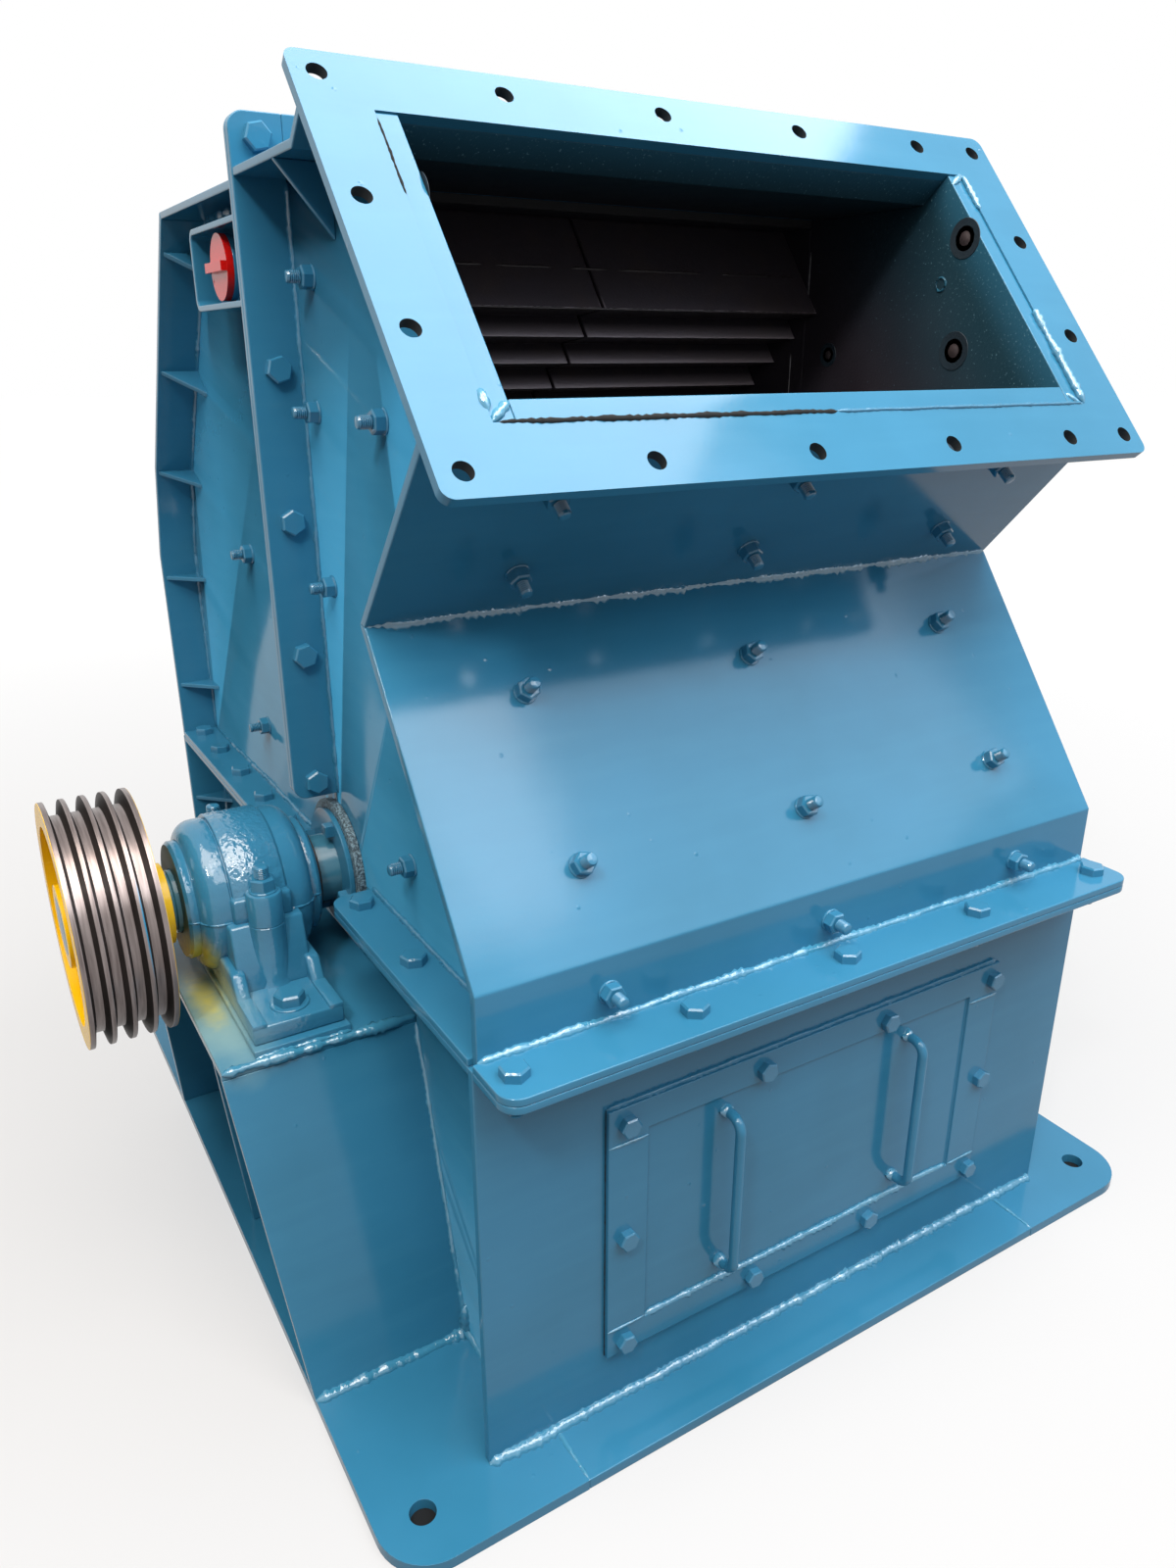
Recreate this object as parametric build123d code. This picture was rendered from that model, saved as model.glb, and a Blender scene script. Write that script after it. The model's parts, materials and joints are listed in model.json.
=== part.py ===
from build123d import *
from math import cos, hypot, radians, sin, tan
import os

# Coal crusher: a welded hammer crusher, split level with its shaft and again behind the feed chute.
# Millimetres. The origin is the middle of the base's underside, X runs along the rotor shaft with the
# belt pulley on the -X side, -Y faces the feed chute and +Z is up.

# Housing shell
wall_thickness = 12.0
chamber_width = 858.0
housing_depth = 1325.0
split_height = 596.0
shaft_y = -83.0
lower_plate_overhang = 65.0
hood_plate_overhang = 59.0
rear_plate_overhang = 64.0
wall_shaft_clearance = 10.0
cut_overrun = 40.0

# Base frame
base_thickness = 16.0
base_side_reach = 220.0
base_end_reach = 83.5
base_inner_lip = 19.0
base_corner_radius = 70.0
anchor_hole_diameter = 33.0
anchor_margin_x = 59.0
anchor_margin_y = 69.0

# Level flange at the shaft height
flange_thickness = 10.0
flange_side_reach = 65.0
flange_front_reach = 80.0
flange_rear_reach = 65.0
flange_corner_radius = 25.0
flange_shaft_gap = 125.0

# Hood in front: upright strip, slope and throat under the feed flange
hood_strip_height = 90.0
hood_slope_run = 247.5
hood_slope_rise = 341.5
feed_angle = 49.7
feed_lip_reach = 239.2
feed_lip_rise = 161.6
feed_opening_length = 380.0
feed_margin_bottom = 80.0
feed_margin_top = 73.5
feed_margin_side = 76.5
feed_flange_thickness = 12.0
feed_corner_radius = 14.0
feed_hole_diameter = 22.0
feed_hole_edge = 29.0
feed_hole_pitch = 211.0
feed_long_pitches = 4
feed_short_pitches = 3
roof_rise = 909.0
roof_thickness = 10.0
roof_gusset_height = 77.0
roof_gusset_setback = 150.0

# Upright flange behind the chute
split_bar_width = 65.0
split_bar_thickness = 10.0
split_bar_rise = 60.0
split_bar_foot = 116.0
split_bar_corner_radius = 20.0

# Rear of the housing
rear_roof_drop = 11.0
rear_back_height = 360.0
rear_knee_run = 65.5
rear_knee_rise = 165.0
rear_slope_angle = 53.8
gusset_thickness = 8.0
gusset_leg = 60.0
gusset_pitch = 210.0
gusset_first = 110.0
gusset_count = 5
lower_gusset_first = 128.0
lower_gusset_count = 2

# Wear liners inside
side_liner_thickness = 26.0
floor_liner_thickness = 26.0
liner_recess = 2.0
liner_shaft_clearance = 15.0
breaker_lead = 28.0
breaker_drop = 125.0
breaker_angle = 37.0
breaker_base = 30.0
breaker_tooth = 37.0
breaker_pitch = 61.0
breaker_rows = 7
breaker_end_land = 24.0
breaker_hanger = 16.0
breaker_seam = 4.0

# Inspection cover and its two handles
cover_width = 676.0
cover_height = 382.0
cover_bottom = 84.0
cover_thickness = 8.0
cover_recess = 4.0
cover_frame_side = 58.0
cover_frame_level = 42.0
handle_diameter = 14.0
handle_length = 240.0
handle_standoff = 32.0
handle_bend_radius = 18.0
handle_spacing = 320.0
handle_bottom = 76.0

# Bearing pedestals beside the housing
pedestal_top_reach = 261.0
pedestal_foot_reach = 221.0
pedestal_plate = 12.0
pedestal_top_half = 260.0
pedestal_foot_half = 380.0
pedestal_web_setback = 24.0

# Plummer blocks
bearing_offset = 593.0
bearing_axis_height = 113.0
bearing_pad_width = 128.0
bearing_pad_length = 504.0
bearing_pad_thickness = 10.0
bearing_foot_width = 120.0
bearing_foot_length = 480.0
bearing_foot_thickness = 25.0
bearing_edge_width = 19.0
bearing_edge_rise = 4.0
bearing_rib_height = 32.0
bearing_rib_length = 46.0
bearing_radius = 108.0
bearing_half_width = 78.0
bearing_end_fillet = 26.0
bearing_band_half = 36.0
bearing_band_rise = 4.0
bearing_ring_radius = 84.0
bearing_ring_length = 14.0
bearing_trunk_width = 100.0
bearing_trunk_flare = 22.0
bearing_lug_radius = 24.0
bearing_lug_offset = 126.0
bearing_lug_height = 46.0
journal_clearance = 0.05
shaft_end_gap = 6.0

# Shaft seals on the side walls
seal_plate_radius = 88.0
seal_plate_thickness = 8.0
packing_radius = 100.0
packing_thickness = 12.0
seal_clearance = 0.3

# Rotor
core_radius = 60.0
sleeve_radius = 50.0
journal_radius = 45.0
pulley_seat_radius = 40.0
core_end_clearance = 29.0
shoulder_gap = 6.0
disc_radius = 270.0
disc_thickness = 24.0
disc_inset = 49.0
disc_count = 4
pin_radius = 18.0
pin_circle_radius = 215.0
pin_count = 4
pin_overhang = 10.0
hammer_gap = 26.0
hammer_width = 110.0
swing_radius = 400.0

# Belt pulley
pulley_radius = 168.0
groove_count = 4
groove_pitch = 25.5
groove_edge = 17.0
groove_depth = 20.0
groove_top_half = 9.8
groove_floor_half = 5.6
rim_thickness = 12.0
web_thickness = 22.0
web_hole_radius = 26.0
web_hole_count = 4
hub_radius = 57.0
hub_reach = 24.0
pulley_gap = 12.0

# Capped port on the left side and the strap round it
port_y = 57.0
port_rise = 820.0
port_neck_radius = 34.0
port_neck_length = 44.0
port_flange_radius = 41.0
port_cover_thickness = 9.0
port_bar_height = 12.0
port_bar_rise = 8.0
guard_thickness = 8.0
guard_half_height = 52.0
guard_back = 105.0
guard_reach = 62.0
guard_bend_radius = 16.0

os.makedirs("parts", exist_ok=True)


def save(name, *shapes):
    """Write the solids of one piece, or of a set of like pieces, to one file."""
    solids = [solid for shape in shapes for solid in shape.solids()]
    shape = solids[0] if len(solids) == 1 else Compound(solids)
    export_step(shape, f"parts/{name}.step")


def slab(x0, x1, y0, y1, z0, z1):
    """A box between two corners."""
    return Pos((x0 + x1) / 2, (y0 + y1) / 2, (z0 + z1) / 2) * Box(x1 - x0, y1 - y0, z1 - z0)


def across(points, x0, x1):
    """A plate with an outline in Y and Z, from one X to another."""
    face = make_face(Polyline(*[(x0, y, z) for y, z in points], close=True))
    return extrude(face, amount=x1 - x0, dir=(1, 0, 0))


def drum(x0, x1, radius, y=shaft_y, z=split_height):
    """A round bar along X."""
    return Pos((x0 + x1) / 2, y, z) * Rot(0, 90, 0) * Cylinder(radius, x1 - x0)


def turned(points):
    """A round body about the shaft axis, from a half section given as X and radius."""
    face = make_face(Polyline(*[(x, 0, r) for x, r in points], close=True))
    return Pos(0, shaft_y, split_height) * revolve(face, Axis.X)


def both(shape):
    """A piece on the left and its mirror image on the right."""
    return shape, mirror(shape, about=Plane.YZ)


def meet(p, d, q, e):
    """The point where two lines in a plane cross, each given by a point and a direction."""
    t = ((q[0] - p[0]) * e[1] - (q[1] - p[1]) * e[0]) / (d[0] * e[1] - d[1] * e[0])
    return (p[0] + d[0] * t, p[1] + d[1] * t)


def unit(p, q):
    """The direction from one point to another."""
    length = hypot(q[0] - p[0], q[1] - p[1])
    return ((q[0] - p[0]) / length, (q[1] - p[1]) / length)


def inset(points, depth):
    """An open outline moved to its right by a depth, with mitred corners."""
    runs = []
    for p, q in zip(points, points[1:]):
        d = unit(p, q)
        runs.append(((p[0] + d[1] * depth, p[1] - d[0] * depth), d))
    last_p = points[-1]
    last_d = runs[-1][1]
    moved = [runs[0][0]]
    for (p, d), (q, e) in zip(runs, runs[1:]):
        moved.append(meet(p, d, q, e))
    moved.append((last_p[0] + last_d[1] * depth, last_p[1] - last_d[0] * depth))
    return moved


# Places that several pieces share
wall_inner = chamber_width / 2
wall_outer = wall_inner + wall_thickness
front_y = -housing_depth / 2
rear_y = housing_depth / 2
front_inner_y = front_y + wall_thickness
rear_inner_y = rear_y - wall_thickness
base_half_x = wall_outer + base_side_reach
base_half_y = rear_y + base_end_reach
wall_hole_radius = sleeve_radius + wall_shaft_clearance
pedestal_top_height = split_height - bearing_axis_height - bearing_pad_thickness
core_half = wall_inner - core_end_clearance
disc_pitch = (2 * (core_half - disc_inset) - disc_thickness) / (disc_count - 1)
hammer_thickness = disc_pitch - disc_thickness - 2 * hammer_gap
port_height = split_height + port_rise

# Feed flange plane: up the slope and out of the mouth
slope_up = (cos(radians(feed_angle)), sin(radians(feed_angle)))
mouth_out = (-slope_up[1], slope_up[0])
feed_length = feed_margin_bottom + feed_opening_length + feed_margin_top
throat_corner = (front_y + hood_slope_run, split_height + hood_strip_height + hood_slope_rise)
feed_lip = (throat_corner[0] - feed_lip_reach, throat_corner[1] + feed_lip_rise)


def on_feed(along, out=0.0):
    """A point of the feed flange, up its slope from the lower edge and out from its face."""
    return (feed_lip[0] + slope_up[0] * along + mouth_out[0] * out,
            feed_lip[1] + slope_up[1] * along + mouth_out[1] * out)


feed_back = on_feed(0.0, -feed_flange_thickness)
feed_front = on_feed(0.0, -liner_recess)
roof_under = split_height + roof_rise
roof_top = roof_under + roof_thickness
rear_roof_top = roof_top - rear_roof_drop
rear_roof_under = rear_roof_top - roof_thickness
throat_end = on_feed(feed_margin_bottom - wall_thickness, -feed_flange_thickness)
bar_front_y = shaft_y - split_bar_thickness
bar_rear_y = shaft_y + split_bar_thickness

# The roof's front end turns up at right angles to the feed flange, to the top of the opening
lip_under = on_feed(feed_margin_bottom + feed_opening_length, -feed_flange_thickness)
lip_top = on_feed(feed_margin_bottom + feed_opening_length + roof_thickness, -feed_flange_thickness)
bend_under = meet(lip_under, mouth_out, (shaft_y, roof_under), (1, 0))
bend_top = meet(lip_top, mouth_out, (shaft_y, roof_top), (1, 0))

# Outlines in Y and Z: the hood's outer skin and the rear cover's
hood_line = [
    (front_y, split_height),
    (front_y, split_height + hood_strip_height),
    throat_corner,
    throat_end,
]
hood_inner = inset(hood_line, wall_thickness)
hood_inner[-1] = meet(hood_inner[-1], unit(throat_corner, throat_end), feed_back, slope_up)
rear_bend = (rear_y, split_height + rear_back_height)
rear_knee = (rear_y - rear_knee_run, rear_bend[1] + rear_knee_rise)
rear_run = (rear_roof_top - rear_knee[1]) / tan(radians(rear_slope_angle))
rear_top = (rear_knee[0] - rear_run, rear_roof_top)
rear_line = [(bar_rear_y, rear_roof_top), rear_top, rear_knee, rear_bend, (rear_y, split_height)]
rear_inner = inset(rear_line, wall_thickness)
rear_inner[0] = (bar_rear_y, rear_roof_under)
rear_inner[1] = meet(rear_inner[0], (1, 0), rear_inner[2], unit(rear_top, rear_knee))


def base_frame():
    """Two wide side plates with the anchor holes, and the front and rear bars between them."""
    inner_x = wall_inner - base_inner_lip
    left = slab(-base_half_x, -inner_x, -base_half_y, base_half_y, 0, base_thickness)
    outer_edges = left.edges().filter_by(Axis.Z).group_by(Axis.X)[0]
    left = fillet(outer_edges, base_corner_radius)
    for side in (-1, 1):
        place = Pos(anchor_margin_x - base_half_x, side * (base_half_y - anchor_margin_y), 0)
        left -= place * Cylinder(anchor_hole_diameter / 2, cut_overrun + base_thickness)
    save("base_side_plates", *both(left))
    bar_inner = front_inner_y + base_inner_lip
    front_bar = slab(-inner_x, inner_x, -base_half_y, bar_inner, 0, base_thickness)
    save("base_end_bars", front_bar, mirror(front_bar, about=Plane.XZ))


def lower_box():
    """The four walls under the split, with the inspection opening and the shaft notches."""
    half_x = wall_outer + lower_plate_overhang
    front = slab(-half_x, half_x, front_y, front_inner_y, base_thickness, split_height)
    open_x = cover_width / 2 - cover_frame_side
    open_low = base_thickness + cover_bottom + cover_frame_level
    open_high = base_thickness + cover_bottom + cover_height - cover_frame_level
    cut_back = front_inner_y + cut_overrun
    front -= slab(-open_x, open_x, front_y - cut_overrun, cut_back, open_low, open_high)
    save("lower_front_wall", front)
    save("lower_rear_wall", slab(-half_x, half_x, rear_inner_y, rear_y, base_thickness, split_height))
    side = slab(-wall_outer, -wall_inner, front_inner_y, rear_inner_y, base_thickness, split_height)
    side -= drum(-wall_outer - cut_overrun, -wall_inner + cut_overrun, wall_hole_radius)
    left, right = both(side)
    save("lower_left_wall", left)
    save("lower_right_wall", right)


def level_flange(name, low):
    """One half of the bolted flange round the split: front, rear and four side bars."""
    high = low + flange_thickness
    half_x = wall_outer + flange_side_reach
    front = slab(-half_x, half_x, front_y - flange_front_reach, front_y, low, high)
    corners = front.edges().filter_by(Axis.Z).group_by(Axis.Y)[0]
    rear = slab(-wall_outer, wall_outer, rear_y, rear_y + flange_rear_reach, low, high)
    save(f"{name}_ends", fillet(corners, flange_corner_radius), rear)
    near = slab(-half_x, -wall_outer, front_inner_y, shaft_y - flange_shaft_gap, low, high)
    near_corner = near.edges().filter_by(Axis.Z).group_by(Axis.Y)[-1].sort_by(Axis.X)[:1]
    far = slab(-half_x, -wall_outer, shaft_y + flange_shaft_gap, rear_inner_y, low, high)
    far_corner = far.edges().filter_by(Axis.Z).group_by(Axis.Y)[0].sort_by(Axis.X)[:1]
    near = fillet(near_corner, flange_corner_radius)
    far = fillet(far_corner, flange_corner_radius)
    save(f"{name}_sides", *both(near), *both(far))


def hood():
    """The front half above the split: bent front plate, throat, two side walls and the roof."""
    half_x = wall_outer + hood_plate_overhang
    save("hood_front_plate", across(hood_line[:3] + hood_inner[2::-1], -half_x, half_x))
    save("hood_throat_plate", across(hood_line[2:] + hood_inner[:1:-1], -half_x, half_x))
    outline = [(shaft_y, split_height)] + hood_inner + [lip_under, bend_under, (shaft_y, roof_under)]
    side = across(outline, -wall_outer, -wall_inner)
    side -= drum(-wall_outer - cut_overrun, -wall_inner + cut_overrun, wall_hole_radius)
    left, right = both(side)
    save("hood_left_wall", left)
    save("hood_right_wall", right)
    roof_x = wall_outer + rear_plate_overhang
    roof = [lip_under, lip_top, bend_top, (bar_front_y, roof_top), (bar_front_y, roof_under), bend_under]
    save("hood_roof", across(roof, -roof_x, roof_x))
    gusset_y = bar_front_y - roof_gusset_setback
    gusset_low = roof_under - roof_gusset_height
    corner = [(-wall_outer, roof_under), (-roof_x, roof_under), (-wall_outer, gusset_low)]
    face = make_face(Polyline(*[(x, gusset_y, z) for x, z in corner], close=True))
    save("roof_gussets", *both(extrude(face, amount=gusset_thickness, dir=(0, -1, 0))))


def feed_flange():
    """The sloped flange round the mouth, drilled for the chute that feeds it."""
    plane = Plane(origin=(0, *on_feed(feed_length / 2)), x_dir=(1, 0, 0), z_dir=(0, *mouth_out))
    width = chamber_width + 2 * feed_margin_side
    outline = RectangleRounded(width, feed_length, feed_corner_radius)
    open_middle = (feed_margin_bottom - feed_margin_top) / 2
    outline -= Pos(0, open_middle) * Rectangle(chamber_width, feed_opening_length)
    for x, y in feed_holes(width):
        outline -= Pos(x, y) * Circle(feed_hole_diameter / 2)
    plate = plane * extrude(outline, amount=-feed_flange_thickness)
    save("feed_flange", plate)


def feed_holes(width):
    """Hole centres from the flange's middle: two long rows set out from the left and two end columns."""
    half_x = width / 2 - feed_hole_edge
    half_y = feed_length / 2 - feed_hole_edge
    holes = []
    for y in (-half_y, half_y):
        holes += [(feed_hole_pitch * i - half_x, y) for i in range(feed_long_pitches + 1)]
        holes.append((half_x, y))
    for x in (-half_x, half_x):
        holes += [(x, 2 * half_y * i / feed_short_pitches - half_y) for i in range(1, feed_short_pitches)]
    return holes


def split_frame(name, y0, y1, roof_low):
    """One half of the upright flange: a bar down each side and one over the roof."""
    low = split_height + split_bar_foot
    high = roof_top + split_bar_rise
    side = slab(-wall_outer - split_bar_width, -wall_outer, y0, y1, low, high)
    corners = side.edges().filter_by(Axis.Y).group_by(Axis.X)[0]
    save(f"{name}_side_bars", *both(fillet(corners, split_bar_corner_radius)))
    save(f"{name}_top_bar", slab(-wall_outer, wall_outer, y0, y1, roof_low, high))


def rear_housing():
    """The rear half above the split: the bent cover, the roof and two side walls."""
    half_x = wall_outer + rear_plate_overhang
    save("rear_cover", across(rear_line[1:] + rear_inner[:0:-1], -half_x, half_x))
    save("rear_roof", across(rear_line[:2] + rear_inner[1::-1], -half_x, half_x))
    outline = [(shaft_y, split_height), (shaft_y, rear_roof_under)] + rear_inner[1:]
    side = across(outline, -wall_outer, -wall_inner)
    side -= drum(-wall_outer - cut_overrun, -wall_inner + cut_overrun, wall_hole_radius)
    left, right = both(side)
    save("rear_left_wall", left)
    save("rear_right_wall", right)


def corner_gusset(point, along):
    """A three-cornered plate between a side wall and the overhanging plate that the point lies on."""
    inward = (-along[1], along[0])
    tip = (point[0] + inward[0] * gusset_leg, point[1] + inward[1] * gusset_leg)
    corners = [(-wall_outer, *point), (-wall_outer - gusset_leg, *point), (-wall_outer, *tip)]
    face = make_face(Polyline(*corners, close=True))
    return extrude(face, amount=gusset_thickness, dir=(0, -along[0], -along[1]))


def rear_gussets():
    """Gussets up the rear cover, evenly spaced along its bends, and more on the lower box."""
    upward = rear_inner[:0:-1]
    upper = []
    for i in range(gusset_count):
        left = gusset_first + gusset_pitch * i
        for p, q in zip(upward, upward[1:]):
            run = hypot(q[0] - p[0], q[1] - p[1])
            if left < run:
                d = unit(p, q)
                upper += both(corner_gusset((p[0] + d[0] * left, p[1] + d[1] * left), d))
                break
            left -= run
    save("rear_gussets", *upper)
    lower = []
    for i in range(lower_gusset_count):
        height = split_height - lower_gusset_first - gusset_pitch * i
        lower += both(corner_gusset((rear_inner_y, height), (0, 1)))
    save("lower_gussets", *lower)


def liners():
    """Wear plates on the side walls, on the chute floor and on the sloped rear wall."""
    side_x = wall_inner - side_liner_thickness
    notch = sleeve_radius + liner_shaft_clearance
    notch_tool = drum(-wall_inner - cut_overrun, -side_x + cut_overrun, notch)
    throat = unit(throat_corner, throat_end)
    floor_front = meet(hood_inner[3], throat, feed_front, slope_up)
    lip_front = on_feed(feed_margin_bottom + feed_opening_length, -liner_recess)
    chute = [(shaft_y, split_height)] + hood_inner[:3]
    chute += [floor_front, lip_front, bend_under, (shaft_y, roof_under)]
    save("hood_side_liners", *both(across(chute, -wall_inner, -side_x) - notch_tool))
    back = [(shaft_y, split_height), (shaft_y, rear_roof_under)] + rear_inner[1:]
    save("rear_side_liners", *both(across(back, -wall_inner, -side_x) - notch_tool))
    inner_line = inset(hood_line, wall_thickness + floor_liner_thickness)
    floor_top = meet(inner_line[3], throat, feed_front, slope_up)
    floor = [hood_inner[2], floor_front, floor_top, inner_line[2]]
    save("chute_floor_liner", across(floor, -side_x, side_x))
    slope = hood_inner[:3] + inner_line[2::-1]
    save("slope_liner", across(slope, -side_x, side_x))


def breaker_plates():
    """Toothed breaker apron in two halves beside a seam, hung from the rear roof between the side liners."""
    side_x = wall_inner - side_liner_thickness
    first = (shaft_y - breaker_lead, rear_roof_under - breaker_drop)
    lean = radians(breaker_angle)
    down = (cos(lean), -sin(lean))
    back = (sin(lean), cos(lean))
    roof = (first[0], rear_roof_under)

    def at(along, depth):
        return (first[0] + down[0] * along + back[0] * depth,
                first[1] + down[1] * along + back[1] * depth)

    outline = [meet(first, back, roof, (1, 0)), first]
    for i in range(1, breaker_rows + 1):
        along = breaker_pitch * i
        outline += [at(along, breaker_tooth), at(along, 0)]
    end = breaker_pitch * breaker_rows + breaker_end_land
    heel = at(breaker_hanger, breaker_tooth + breaker_base)
    outline += [at(end, 0), at(end, breaker_tooth + breaker_base), heel, meet(heel, back, roof, (1, 0))]
    save("breaker_plates", *both(across(outline, -side_x, -breaker_seam / 2)))


def inspection_cover():
    """The bolted cover on the front wall, its panel set back in a frame, and two bar handles."""
    low = base_thickness + cover_bottom
    high = low + cover_height
    half_x = cover_width / 2
    face_y = front_y - cover_thickness
    cover = slab(-half_x, half_x, face_y, front_y, low, high)
    inner_x = half_x - cover_frame_side
    panel_y = face_y + cover_recess
    panel_low = low + cover_frame_level
    panel_high = high - cover_frame_level
    cover -= slab(-inner_x, inner_x, face_y - cut_overrun, panel_y, panel_low, panel_high)
    save("inspection_cover", cover)
    x = -handle_spacing / 2
    bottom = low + handle_bottom
    top = bottom + handle_length
    reach_y = panel_y - handle_standoff
    points = [(panel_y, bottom), (reach_y, bottom), (reach_y, top), (panel_y, top)]
    path = FilletPolyline(*[(x, y, z) for y, z in points], radius=handle_bend_radius)
    save("cover_handles", *both(bent_bar(path, handle_diameter / 2)))


def bent_bar(path, radius):
    """A round bar along straight runs and arcs: each run is extruded and each arc turned."""
    bar = Part()
    for edge in path.edges():
        section = Plane(origin=edge @ 0, z_dir=edge % 0) * Circle(radius)
        if edge.geom_type == GeomType.LINE:
            bar += extrude(section, amount=edge.length)
        else:
            turn = Axis(edge.arc_center, (edge % 0).cross(edge % 1))
            bar += revolve(section, turn, (edge % 0).get_angle(edge % 1))
    return bar


def pedestals():
    """Open plate stands that carry the bearings: top, leaning front and rear plates, and a middle web."""
    low = base_thickness
    high = pedestal_top_height - pedestal_plate
    top_x = -wall_outer - pedestal_top_reach
    foot_x = -wall_outer - pedestal_foot_reach
    top_front = shaft_y - pedestal_top_half
    top_rear = shaft_y + pedestal_top_half
    top = slab(top_x, -wall_outer, top_front, top_rear, high, pedestal_top_height)
    save("pedestal_tops", *both(top))
    lean = unit((shaft_y - pedestal_foot_half, low), (shaft_y - pedestal_top_half, high))
    wide = pedestal_plate / lean[1]
    leaning = [
        (shaft_y - pedestal_foot_half, low),
        (shaft_y - pedestal_foot_half + wide, low),
        (shaft_y - pedestal_top_half + wide, high),
        (shaft_y - pedestal_top_half, high),
    ]
    front = across(leaning, top_x, -wall_outer)
    edge = [(top_x, high), (foot_x, low), (-wall_outer, low), (-wall_outer, high)]
    taper = make_face(Polyline(*[(x, shaft_y, z) for x, z in edge], close=True))
    front &= extrude(taper, amount=pedestal_foot_half + cut_overrun, dir=(0, -1, 0))
    rear = mirror(front, about=Plane.XZ.offset(-shaft_y))
    save("pedestal_end_plates", *both(front), *both(rear))
    web_edge = [(x + pedestal_web_setback * (x < -wall_outer), z) for x, z in edge]
    web_face = make_face(Polyline(*[(x, shaft_y, z) for x, z in web_edge], close=True))
    save("pedestal_webs", *both(extrude(web_face, amount=pedestal_plate / 2, both=True)))


def bearing_body(bore):
    """The round body of the left bearing, with its raised middle band and end rings."""
    end = bearing_half_width
    tip = end + bearing_ring_length
    band = bearing_radius + bearing_band_rise
    section = [
        (-tip, 0),
        (-tip, bearing_ring_radius),
        (-end, bearing_ring_radius),
        (-end, bearing_radius - bearing_end_fillet),
        (bearing_end_fillet - end, bearing_radius),
        (-bearing_band_half, bearing_radius),
        (-bearing_band_half, band),
    ]
    section += [(-x, r) for x, r in reversed(section)]
    return Pos(-bearing_offset, 0, 0) * turned(section) - bore


def bearings():
    """Plummer blocks: a pad, a base with foot and trunk, and a cap, split through the shaft axis."""
    pad_top = pedestal_top_height + bearing_pad_thickness
    foot_top = pad_top + bearing_foot_thickness
    pad_x = bearing_pad_width / 2
    pad_y = bearing_pad_length / 2
    pad = slab(-pad_x, pad_x, shaft_y - pad_y, shaft_y + pad_y, pedestal_top_height, pad_top)
    save("bearing_pads", *both(Pos(-bearing_offset, 0, 0) * pad))
    foot_x = bearing_foot_width / 2
    foot_y = bearing_foot_length / 2
    foot = slab(-foot_x, foot_x, shaft_y - foot_y, shaft_y + foot_y, pad_top, foot_top)
    trunk_x = bearing_trunk_width / 2
    trunk_y = bearing_lug_offset
    trunk = across([
        (shaft_y - trunk_y, split_height),
        (shaft_y + trunk_y, split_height),
        (shaft_y + trunk_y + bearing_trunk_flare, foot_top),
        (shaft_y - trunk_y - bearing_trunk_flare, foot_top),
    ], -trunk_x, trunk_x)
    edge_x = foot_x - bearing_edge_width
    edge_top = foot_top + bearing_edge_rise
    edge = slab(-foot_x, -edge_x, shaft_y - foot_y, shaft_y + foot_y, foot_top, edge_top)
    rib_top = foot_top + bearing_rib_height
    rib_toe = trunk_y + bearing_rib_length
    rib_head = trunk_y + bearing_rib_length / 2
    rib = across([
        (shaft_y - rib_toe, foot_top),
        (shaft_y - rib_head, rib_top),
        (shaft_y + rib_head, rib_top),
        (shaft_y + rib_toe, foot_top),
    ], -foot_x, -edge_x)
    sides = edge + rib
    frame = foot + trunk + sides + mirror(sides, about=Plane.YZ)
    ends = bearing_half_width + bearing_ring_length + cut_overrun
    reach = bearing_lug_offset + bearing_lug_radius + cut_overrun
    lower_half = slab(-ends, ends, shaft_y - reach, shaft_y + reach, foot_top - cut_overrun, split_height)
    upper_half = slab(-ends, ends, shaft_y - reach, shaft_y + reach, split_height, split_height + reach)
    through = drum(-bearing_offset - ends, -bearing_offset + ends, journal_radius + journal_clearance)
    blind_end = -bearing_offset - bearing_half_width
    blind = drum(blind_end, -bearing_offset + ends, journal_radius + journal_clearance)
    bases = []
    caps = []
    for side, bore in (("left", through), ("right", blind)):
        body = bearing_body(bore)
        base = Pos(-bearing_offset, 0, 0) * frame - bore
        base += body & (Pos(-bearing_offset, 0, 0) * lower_half)
        cap = body & (Pos(-bearing_offset, 0, 0) * upper_half)
        for y in (shaft_y - bearing_lug_offset, shaft_y + bearing_lug_offset):
            column = Pos(-bearing_offset, y, (foot_top + split_height) / 2)
            base += column * Cylinder(bearing_lug_radius, split_height - foot_top)
            lug = Pos(-bearing_offset, y, split_height + bearing_lug_height / 2)
            cap += lug * Cylinder(bearing_lug_radius, bearing_lug_height) - bore
        if side == "right":
            base = mirror(base, about=Plane.YZ)
            cap = mirror(cap, about=Plane.YZ)
        bases.append(base)
        caps.append(cap)
    save("bearing_bases", *bases)
    save("bearing_caps", *caps)


def shaft_seals():
    """A packing ring and a clamp plate round the shaft on each side wall."""
    plate_x = -wall_outer - packing_thickness
    bore = drum(plate_x - cut_overrun, -wall_outer + cut_overrun, sleeve_radius + seal_clearance)
    packing = drum(plate_x, -wall_outer, packing_radius) - bore
    plate = drum(plate_x - seal_plate_thickness, plate_x, seal_plate_radius) - bore
    save("shaft_packings", *both(packing))
    save("shaft_seal_plates", *both(plate))


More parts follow.
